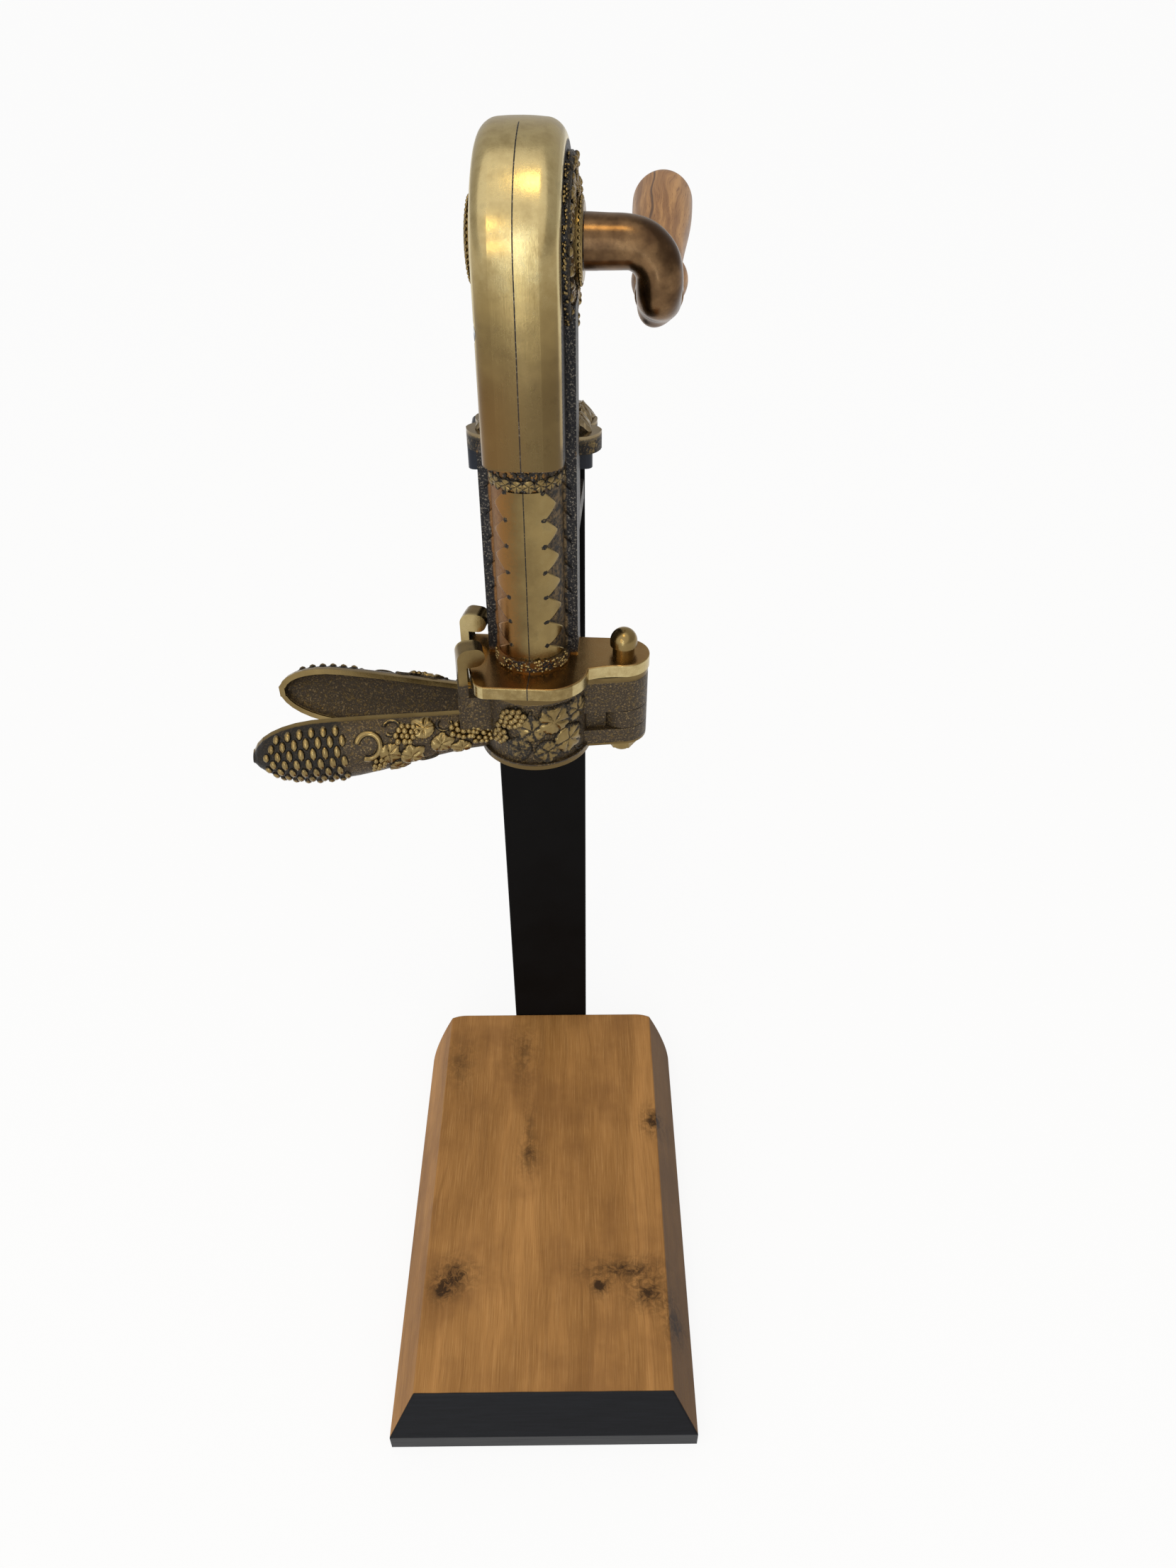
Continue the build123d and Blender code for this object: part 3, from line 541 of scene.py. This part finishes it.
# %% [markdown]
# ## Jaw castings
#
# The collar's two halves are cast with their hollow handles. Their outsides keep dark patina between the
# ornament, the insides of the handles are stippled and dull, and the rims, hooks and knuckles are rubbed to
# gold. A handle is half of a swelling tube with a rounded end. The recipe repeats that shape in the jaw's own
# frame: how far a point is out from the tube's middle tells the inside from the outside, and the rim is a
# band near the handle's flat.

# %% Jaw finishes
ring_outer, jaw_bottom, jaw_split = 24.5, -45.0, 1.0
handle_start, handle_tip = ring_outer * 0.75, 131.0
root_half, tip_half, handle_depth = 9.5, 16.5, 12.0
rim_drop, tip_drop = 5.0, 5.0
swell_end, end_least = 0.72, 0.03


def jaw_bronze(point):
    x, y, z = point.axes()
    out = (-handle_start - x) / (handle_tip - handle_start)
    swell = out.rise(0, swell_end)
    end = (1 - ((out - swell_end).most(0) / (1 - swell_end)) ** 2).most(end_least) ** 0.5
    from_rim = y - (out * -rim_drop - jaw_split)
    deep = (swell * 0.2 + 0.8) * handle_depth * (end * 0.65 + 0.35)
    half = (swell * (tip_half - root_half) + root_half) * end
    around = (from_rim / deep) ** 2 + ((z - jaw_bottom - root_half + swell * tip_drop) / half) ** 2
    handle = x.fall(-34, -28)
    inside = handle * around.fall(0.72, 0.86)
    rim = (from_rim.rise(-4.0, -1.2) * (1 - inside)).most(from_rim.rise(-1.4, -0.4)) * x.fall(-30, -22)
    lip = z.rise(-9.6, -8.4).most(z.fall(-43.2, -42.4)) * x.rise(-24, -20)
    hook = z.rise(-7, -3)
    knuckle = x.rise(28, 31) * (z.rise(-9, -7.4) + z.fall(-44, -42)).least(1)
    worn = point.noise(0.5, 4.0, 0.7).rise(0.4, 0.68)
    field = x.fall(-93, -87) * (1 - inside)
    # Painted light: sunlit is a patch low inside the handle, painted bright through the polish mask.
    sunlit = inside * z.fall(-48, -34) * point.noise(1.3, 3.0, 0.7).rise(0.5, 0.7)
    rubbed = rim.most(lip).most(hook).most(knuckle).most(worn * 0.5 * (1 - field)).most(sunlit * 0.6)
    gold = hook * 0.3 + rim * 0.45 + knuckle * 0.2 + 0.14
    ground = field.mix(colour(58, 47, 33), colour(26, 22, 17))
    speck = field.mix(colour(136, 114, 76), colour(60, 48, 32))
    return brass(point, rubbed + (1 - field) * 0.12, gold, ground, speck)


front_finish = finish("front jaw bronze", jaw_bronze, front_jaw)
rear_finish = finish("rear jaw bronze", jaw_bronze, rear_jaw)
dress(front_finish, "front_jaw")
dress(rear_finish, "rear_jaw")
print("two jaw finishes")

# %% [markdown]
# ## A kit for cast ornament
#
# Grapes, leaves, tendrils and pointed ovals stand a millimetre or two proud of the castings. They are drawn
# flat first, in millimetres of u, v and height, from ready-made bmesh shapes, and then bent onto the surface
# that carries them. Before bending, each point's height is kept in an attribute: the finish rubs the high
# points bright and leaves the low ones dark, as a cloth does.

# %% Flat ornament shapes
seed = random.Random(7)


def add_grape(bm, u, v, radius, lift=0.0):
    squash = Matrix.Translation((u, v, radius * 0.3 + lift)) @ Matrix.Diagonal((1, 1, 0.9, 1))
    bmesh.ops.create_icosphere(bm, subdivisions=2, radius=radius, matrix=squash)


def add_bunch(bm, u, v, size, angle, rows=(2, 3, 4, 3, 2, 1)):
    """A bunch of grapes in staggered rows, heaped up along its middle."""
    heading = Matrix.Rotation(angle, 2)
    for row, count in enumerate(rows):
        for i in range(count):
            aside = i - (count - 1) / 2
            spot = heading @ Vector((aside * size * 1.75, (len(rows) / 2 - row) * size * 1.5))
            spot += Vector((seed.uniform(-0.35, 0.35), seed.uniform(-0.35, 0.35)))
            lift = size * 0.6 * math.cos(aside / len(rows) * math.pi)
            add_grape(bm, u + spot.x, v + spot.y, size * seed.uniform(0.92, 1.1), lift)


def add_leaf(bm, u, v, size, angle, high=1.6):
    """A five-lobed vine leaf: thick at its toothed edge, puffed up between its veins."""
    lobes = ((0.0, 1.0), (1.12, 0.92), (-1.12, 0.92), (2.15, 0.74), (-2.15, 0.74))
    lobe_half = 0.56
    ring = bmesh.ops.create_circle(bm, segments=54, radius=1.0)["verts"]
    leaf = list(ring)
    for reach in (0.93, 0.78, 0.58, 0.36, 0.14):
        edges = {edge for vert in ring for edge in vert.link_edges if edge.is_wire or edge.is_boundary}
        edges = [edge for edge in edges if all(vert in ring for vert in edge.verts)]
        grown = bmesh.ops.extrude_edge_only(bm, edges=edges)["geom"]
        ring = [item for item in grown if isinstance(item, bmesh.types.BMVert)]
        for vert in ring:
            vert.co *= reach / vert.co.length
        leaf += ring
    edges = {edge for vert in ring for edge in vert.link_edges}
    bmesh.ops.contextual_create(bm, geom=[edge for edge in edges if edge.is_boundary])
    heading = Matrix.Rotation(angle, 2)
    for vert in leaf:
        around = math.atan2(vert.co.y, vert.co.x)
        reach = vert.co.length
        nearest = min(abs(around - at) for at, long in lobes)
        lobe = [(min(abs(around - at) / lobe_half, 1), long) for at, long in lobes]
        outline = max(long * (0.86 + 0.14 * math.cos(math.pi * aside)) for aside, long in lobe)
        outline = max(outline, 0.5) + 0.035 * math.cos(18 * around)
        vein = math.exp(-(nearest * reach / 0.08) ** 2)
        puff = 0.8 + 0.2 * math.sin(min(nearest / 0.5, 1.0) * math.pi / 2)
        height = high * (1 - 0.45 * reach ** 4) * (puff - 0.2 * vein) if reach < 0.99 else -0.7
        flat = heading @ Vector((math.cos(around), math.sin(around))) * reach * outline * size
        vert.co = (u + flat.x, v + flat.y, height)


def add_arc(bm, u, v, radius, start, sweep, thick):
    """A tendril: part of a ring, round in section."""
    whole = sweep == math.tau
    tube = Matrix.Translation((u, v, 0)) @ Matrix.Rotation(start, 4, "Z") @ Matrix.Translation((radius, 0, 0))
    ring = bmesh.ops.create_circle(bm, cap_ends=not whole, segments=8, radius=thick,
                                   matrix=tube @ Matrix.Rotation(math.pi / 2, 4, "X"))["verts"]
    geom = ring + list({part for vert in ring for part in (*vert.link_edges, *vert.link_faces)})
    bmesh.ops.spin(bm, geom=geom, angle=sweep, steps=max(6, int(abs(sweep) * 6)), axis=(0, 0, 1),
                   cent=(u, v, 0), use_merge=whole)


def add_almond(bm, u, v, wide, tall, high):
    """A pointed oval of the knurled grip."""
    shape = Matrix.Diagonal((wide / 2, tall / 2, high, 1)) @ Matrix.Rotation(math.pi / 2, 4, "X")
    shape = Matrix.Translation((u, v, 0)) @ shape
    bmesh.ops.create_uvsphere(bm, u_segments=8, v_segments=5, radius=1.0, matrix=shape)


print("ornament kit ready")

# %% [markdown]
# ## Onto the castings
#
# A surface here is a function from u, v and height to a point: the flat side of the head, the round of the
# collar, or the swelling back of a handle. The handle's function repeats the CAD's own rule, so ornament lies
# on it closely; everything also starts a little below the surface, so that nothing floats.

# %% Surfaces and the piece maker


def on_handle(u, v, height):
    """u runs from the collar to the tip, v across the handle's back, both in millimetres."""
    k = max(0.0, min(u / (handle_tip - handle_start), 1.0))
    swell = 0.5 - 0.5 * math.cos(math.pi * min(k / swell_end, 1.0))
    round_end = math.sqrt(max(1 - max((k - swell_end) / (1 - swell_end), 0) ** 2, end_least))
    half = (root_half + (tip_half - root_half) * swell) * round_end
    deep = handle_depth * (0.8 + 0.2 * swell) * (0.35 + 0.65 * round_end)
    angle = v / (0.5 * (root_half + tip_half))
    middle = jaw_bottom + root_half - tip_drop * swell
    return Vector((-handle_start - u, -(jaw_split + rim_drop * k) - (deep + height) * math.cos(angle),
                   middle + (half + height) * math.sin(angle)))


def on_collar(u, v, height):
    """u runs round the collar from its front to the right, v is z."""
    angle = u / ring_outer
    reach = ring_outer + height
    return Vector((reach * math.sin(angle), -reach * math.cos(angle), v))


def on_column(u, v, height):
    """u runs round the column from its front to the right, v is z."""
    angle = u / column_half
    reach = column_half + height
    return Vector((reach * math.sin(angle), column_centre - reach * math.cos(angle), v))


def on_head_side(side):
    """u runs from the head's middle, v is up; on the right the ornament lies on a raised disc."""
    face = head_half + disc_step if side > 0 else head_half

    def point(u, v, height):
        return Vector((side * (face + height), head_y + u * side, head_z + v))
    return point


def cast(name, bm, surface, place, body, material, high):
    """Bend flat ornament onto a surface, and make it a piece that moves with a body."""
    rub = bm.verts.layers.float.new("rub")
    for vert in bm.verts:
        vert[rub] = max(0.0, min(vert.co.z / high, 1.0))
        vert.co = place @ surface(*vert.co)
    bmesh.ops.recalc_face_normals(bm, faces=bm.faces)
    return piece(name, bm, body, material)


def piece(name, bm, body, material, smooth=True):
    mesh = bpy.data.meshes.new(name)
    for face in bm.faces:
        face.smooth = smooth
    bm.to_mesh(mesh)
    bm.free()
    mesh.materials.append(material)
    made = bpy.data.objects.new(name, mesh)
    bpy.context.scene.collection.objects.link(made)
    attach(made, body)
    print(name, len(mesh.polygons), "faces")
    return made


# %% [markdown]
# ## Finish of the ornament
#
# The same brass, with the height attribute as its polish mask.

# %% Ornament finish


def ornament_brass(point):
    height = point.node("Attribute", {"attribute_name": "rub"}, {}, out=2)
    worn = point.noise(0.35, 3.0)
    rubbed = (height + (worn - 0.5) * 0.7).rise(0.25, 0.95)
    return brass(point, rubbed, height * 0.42 + worn * 0.35, colour(34, 28, 20), colour(108, 90, 60))


ornament_finish = finish("ornament brass", ornament_brass, opener)
print("ornament finish ready")

# %% [markdown]
# ## Knurled ends of the handles
#
# The last third of each handle is a field of raised pointed ovals in staggered rows, for grip. One small oval
# is repeated over the field, and those that would run past the tip or over the rim are left out.

# %% Ovals on both handles
pitch_u, pitch_v = 5.4, 8.6
field_start, field_end = 71.0, 108.5


def knurl(name, place, body):
    bm = bmesh.new()
    column = 0
    u = field_start
    while u < field_end:
        room = 16.0 * math.sqrt(max(0.0, 1 - max((u - 88) / 25, 0) ** 2))
        for row in range(-3, 4):
            v = (row + 0.5 * (column % 2)) * pitch_v
            if abs(v) < room:
                add_almond(bm, u, v, pitch_u * 0.64, pitch_v * 0.64, 1.6)
        u += pitch_u / 2
        column += 1
    return cast(name, bm, on_handle, place, body, ornament_finish, 1.2)


knurl("front_knurl", front_jaw, "front_jaw")
knurl("rear_knurl", rear_jaw, "rear_jaw")

# %% [markdown]
# ## Vine along the handles and round the collar
#
# Between the knurl and the hinge runs a grapevine: a round scroll, leaves, bunches of grapes and curling
# tendrils. Each jaw carries its own copy, drawn flat and bent onto the handle's back and the collar.

# %% Vines of both jaws


def vine(name, place, body):
    on_back = bmesh.new()
    add_arc(on_back, 59.5, 5.0, 5.4, 0.3, 4.9, 1.5)
    add_bunch(on_back, 57.0, -5.0, 1.3, 0.9, (2, 3, 2, 1))
    add_leaf(on_back, 50.5, 0.5, 6.8, 3.6)
    add_arc(on_back, 48.5, 12.0, 3.6, 0.2, 5.2, 1.0)
    add_leaf(on_back, 47.0, -9.0, 6.4, 4.4)
    add_bunch(on_back, 43.0, 8.0, 1.5, 1.2, (2, 3, 4, 3, 2))
    add_leaf(on_back, 40.5, -3.0, 7.6, 2.6, 1.9)
    add_leaf(on_back, 34.0, 10.0, 7.6, 0.7, 2.1)
    add_arc(on_back, 33.0, -7.0, 4.2, 3.5, 3.4, 0.9)
    add_leaf(on_back, 26.5, 1.0, 7.2, 2.9, 1.9)
    add_arc(on_back, 24.5, 11.0, 3.4, 2.6, 4.6, 0.9)
    add_bunch(on_back, 16.0, 7.5, 1.6, 1.5, (2, 3, 4, 4, 3, 2))
    add_leaf(on_back, 17.0, -4.0, 6.6, 0.4, 1.9)
    add_bunch(on_back, 7.5, 2.5, 1.6, 1.3, (2, 3, 4, 3, 2))
    add_arc(on_back, 7.0, 12.0, 4.0, 0.2, 3.4, 0.9)
    cast(name + "_handle_vine", on_back, on_handle, place, body, ornament_finish, 1.5)
    round_collar = bmesh.new()
    add_bunch(round_collar, -14.0, -19.0, 1.55, -0.9, (2, 3, 4, 4, 3, 2, 1))
    add_bunch(round_collar, -19.0, -30.0, 1.5, -0.3, (2, 3, 3, 2))
    add_leaf(round_collar, -9.0, -33.5, 8.2, -2.4)
    add_leaf(round_collar, -3.0, -23.0, 9.4, 2.8, 1.9)
    add_arc(round_collar, -7.0, -13.0, 3.4, 2.5, 3.8, 0.9)
    add_leaf(round_collar, 3.5, -35.0, 8.0, -1.6, 1.8)
    add_leaf(round_collar, 6.5, -19.0, 10.2, 1.0, 2.4)
    add_leaf(round_collar, 13.5, -30.5, 10.0, -0.6, 2.3)
    add_leaf(round_collar, 18.5, -17.0, 8.6, 1.4, 2.0)
    add_arc(round_collar, 22.0, -38.0, 3.4, 2.2, 3.0, 0.8)
    cast(name + "_collar_vine", round_collar, on_collar, place, body, ornament_finish, 2.5)


vine("front", front_jaw, "front_jaw")
vine("rear", rear_jaw, "rear_jaw")

# %% [markdown]
# ## Wreath on the sides of the head
#
# Round each bearing hub lies a wreath of leaves, grapes and tendrils, on the right inside a raised border.
# Seen from the front it makes the lumpy dark edge with bright specks beside the polished band. On the left
# only part of the ring carries it, round a raised boss. The hubs themselves have a milled rim.

# %% Head wreaths
hub_offset, hub_radius, boss_radius = 4.5, 15.0, 19.0


def wreath(name, side):
    bm = bmesh.new()
    hub = Vector((hub_offset * side, 0))
    inner = hub_radius if side > 0 else boss_radius
    for i in range(30):
        angle = math.tau * i / 30
        spot = Vector((math.cos(angle), math.sin(angle)))
        room = (spot * 27.5 - hub).length - inner
        middle = spot * (28.5 - room / 2)
        if side < 0 and middle.x > 6:
            continue
        if i % 3 == 0:
            add_leaf(bm, middle.x, middle.y, min(room * 0.62, 6.4), angle + seed.uniform(-0.6, 0.6), 1.8)
        elif i % 3 == 1:
            add_bunch(bm, middle.x, middle.y, 1.15, angle + math.pi / 2, (2, 3, 2, 1))
        else:
            add_arc(bm, middle.x, middle.y, min(room * 0.3, 2.6), angle, 4.4, 0.6)
    if side > 0:
        add_arc(bm, 0, 0, 29.6, 0, math.tau, 0.9)
        for i in range(46):
            angle = math.tau * i / 46 + seed.uniform(-0.05, 0.05)
            reach = seed.uniform(26.5, 30.0)
            add_grape(bm, reach * math.cos(angle), reach * math.sin(angle), seed.uniform(0.9, 1.9), 0.3)
    for i in range(40):
        angle = math.tau * i / 40
        rim = hub + Vector((math.cos(angle), math.sin(angle))) * hub_radius
        add_grape(bm, rim.x, rim.y, 0.8, 2.7 if side > 0 else 2.7 + disc_step)
    cast(name, bm, on_head_side(side), opener, "stand", ornament_finish, 2.0)


wreath("right_wreath", 1)
wreath("left_wreath", -1)

# %% Grains on the rim of the right disc
disc_radius = 31.0


def on_disc_rim(u, v, height):
    """u runs round the disc's rim, v outwards from the head's side."""
    angle = u / disc_radius
    reach = disc_radius + height
    return Vector((head_half + v, head_y - reach * math.cos(angle), head_z + reach * math.sin(angle)))


bm = bmesh.new()
for i in range(150):
    add_grape(bm, seed.uniform(-46, 46), seed.uniform(0.1, disc_step), seed.uniform(0.35, 0.8))
cast("disc_rim_grains", bm, on_disc_rim, opener, "stand", ornament_finish, 0.9)

# %% [markdown]
# ## Toothed facing of the column
#
# A polished facing lies on the front of the column, and both its edges are cut into pointed teeth, with
# painted shade for the holes between them. A grid is bent round the column: its outermost points sink into
# the casting, and how far round each row reaches follows the teeth. A painted reflection of the round column
# tints the facing amber on its left and paler gold on its right.

# %% Column facing
tooth_pitch, first_tip = 11.857, 7.0
root_angle, facing_top = 33.0, 84.5


def facing_edge(z):
    """How far round the column the facing reaches, in millimetres."""
    away = abs((z - first_tip) / tooth_pitch - round((z - first_tip) / tooth_pitch)) * 2
    tip_angle = 76.0 - 20.0 * z / facing_top
    return math.radians(root_angle + (tip_angle - root_angle) * (1 - away) ** 0.85) * column_half


def facing_brass(point):
    x, y, z = point.axes()
    row = (z - first_tip) / tooth_pitch
    valley = (abs(row - point.math("FLOOR", row) - 0.5)) * tooth_pitch
    # Painted shade: dark spots stand in for the holes between the teeth.
    hole_shade = ((abs(x) - 15.8 * math.sin(math.radians(root_angle - 3))) ** 2 + valley ** 2) ** 0.5
    ragged = point.noise(0.8, 3.0) - 0.5
    dark = (hole_shade + ragged * 1.6).fall(0.7, 1.3).most(abs(x).fall(0.12, 0.32))
    # Painted reflection of the round column: amber on the facing's left, and gold rising towards its right.
    amber_tint = (x + ragged * 6).fall(-11, -1)
    made = brass(point, 1 - dark, (x + ragged * 4).rise(-8, 8) * 0.35 + 0.25)
    made["Base Color"] = (amber_tint * (1 - dark) * 0.75).mix(made["Base Color"], amber)
    return made


facing_finish = finish("facing brass", facing_brass, opener)
bm = bmesh.new()
bmesh.ops.create_grid(bm, x_segments=20, y_segments=112, size=1.0)
for vert in bm.verts:
    aside = vert.co.x
    height = (vert.co.y + 1) / 2 * facing_top
    raised = 0.75 if abs(aside) < 0.99 else -0.4
    vert.co = (math.copysign(abs(aside) ** 0.6, aside) * facing_edge(height), height, raised)
cast("column_facing", bm, on_column, opener, "stand", facing_finish, 1.0)

# %% [markdown]
# ## Leaf on top of the clamp
#
# The clamp's upper jaw is cast as a broad leaf. Puffed lobes with veins lie on its top, on either side.

# %% Lobes of the clamp's leaf
bracket_top, bracket_flat = 97.0, 20.0


def on_bracket(u, v, height):
    """u is x and v is y on the clamp's top, which falls away near its edge."""
    return Vector((u, v, bracket_top + height - 0.9 * max(abs(u) - bracket_flat, 0)))


bm = bmesh.new()
for side in (-1, 1):
    for y, size, lean in ((40.0, 7.5, -0.4), (28.0, 7.0, 0.5)):
        add_leaf(bm, side * 18.8, y, size, math.pi / 2 - side * (math.pi / 2 + lean), 2.4)
cast("bracket_leaf", bm, on_bracket, opener, "stand", rough_finish, 2.4)

# %% [markdown]
# ## Scrolled hem under the head
#
# Below the head's lip the column wears a hem of curled leaves, and a rough fringe of grains runs round
# its foot.

# %% Hem and foot
skirt_step = 1.7
bm = bmesh.new()
for i in range(9):
    spot = 4.6 * (i - 4)
    add_arc(bm, spot, 91.0, 2.0, 0.4 + i, 4.4, 0.7)
    add_leaf(bm, spot + 2.3, 87.5, 3.6, -math.pi / 2, 1.3)
for i in range(90):
    add_grape(bm, seed.uniform(-19, 19), seed.uniform(0.6, 6.4), seed.uniform(0.4, 0.8), skirt_step)
cast("column_hem", bm, on_column, opener, "stand", ornament_finish, 1.6)

# %% [markdown]
# ## Floor and light
#
# The stand is shown on a plain white floor. The world gives an even soft light, a very broad sun gives it a
# direction, and a narrow window and three small warm lamps put their highlights on the polished head. Only to
# the camera and in reflections is the floor nearly pure white; it still takes the stand's shadow.

# %% Floor
floor_half, floor_gap = 14.0, 0.0002
bm = bmesh.new()
bmesh.ops.create_grid(bm, x_segments=1, y_segments=1, size=floor_half)
floor_mesh = bpy.data.meshes.new("floor")
bm.to_mesh(floor_mesh)
bm.free()
floor = bpy.data.objects.new("floor", floor_mesh)
bpy.context.scene.collection.objects.link(floor)
floor.location.z = cad_box[0].z - floor_gap
floor_material = bpy.data.materials.new("floor")
floor_material.use_nodes = True
tree = floor_material.node_tree
paint = Paint(tree)
tree.nodes["Principled BSDF"].inputs["Base Color"].default_value = (0.86, 0.86, 0.86, 1)
tree.nodes["Principled BSDF"].inputs["Roughness"].default_value = 0.9
seen = paint.node("LightPath", {}, {}, out=0)
seen = seen.most(paint.node("LightPath", {}, {}, out=3)).most(paint.node("LightPath", {}, {}, out=6))
glow = paint.node("Emission", {}, {"Color": (1, 1, 1, 1), "Strength": 1.0})
plain = Paint(tree, tree.nodes["Principled BSDF"].outputs[0])
mixed = paint.node("MixShader", {}, {0: seen * 0.88, 1: plain, 2: glow})
tree.links.new(mixed.socket, tree.nodes["Material Output"].inputs["Surface"])
floor_mesh.materials.append(floor_material)
print("floor at", round(floor.location.z, 4))

# %% Lamps and world
world = bpy.data.worlds.new("studio")
world.use_nodes = True
sky = world.node_tree.nodes["Background"]
sky.inputs["Color"].default_value = (1.0, 0.98, 0.95, 1)
sky.inputs["Strength"].default_value = 0.55
bpy.context.scene.world = world


def soft_box(name, spot, aim, wide, tall, watts, tint=(1, 1, 1)):
    data = bpy.data.lights.new(name, "AREA")
    data.shape = "RECTANGLE"
    data.size, data.size_y = wide, tall
    data.energy = watts
    data.color = tint
    lamp = bpy.data.objects.new(name, data)
    lamp.location = spot
    lamp.rotation_euler = (Vector(aim) - Vector(spot)).to_track_quat("-Z", "Y").to_euler()
    bpy.context.scene.collection.objects.link(lamp)


sun = bpy.data.lights.new("sun", "SUN")
sun.energy = 1.3
sun.angle = math.radians(110)
sun_lamp = bpy.data.objects.new("sun", sun)
sun_lamp.rotation_euler = (math.radians(38), math.radians(-18), 0)
bpy.context.scene.collection.objects.link(sun_lamp)
on_head = (0, 0.06, 0.53)
soft_box("window", (-0.2, -1.3, 0.6), on_head, 0.12, 1.1, 2.4, (0.78, 0.9, 1.0))
soft_box("ceiling lamp", (0.01, -0.36, 1.72), on_head, 0.2, 0.3, 1.8, (1.0, 0.76, 0.3))
soft_box("left lamp", (-0.55, -1.14, 1.26), on_head, 0.16, 0.22, 0.9, (1.0, 0.78, 0.36))
soft_box("low lamp", (-0.5, -1.36, 0.8), on_head, 0.16, 0.2, 0.8, (1.0, 0.8, 0.45))
bpy.context.scene.view_settings.view_transform = "Standard"
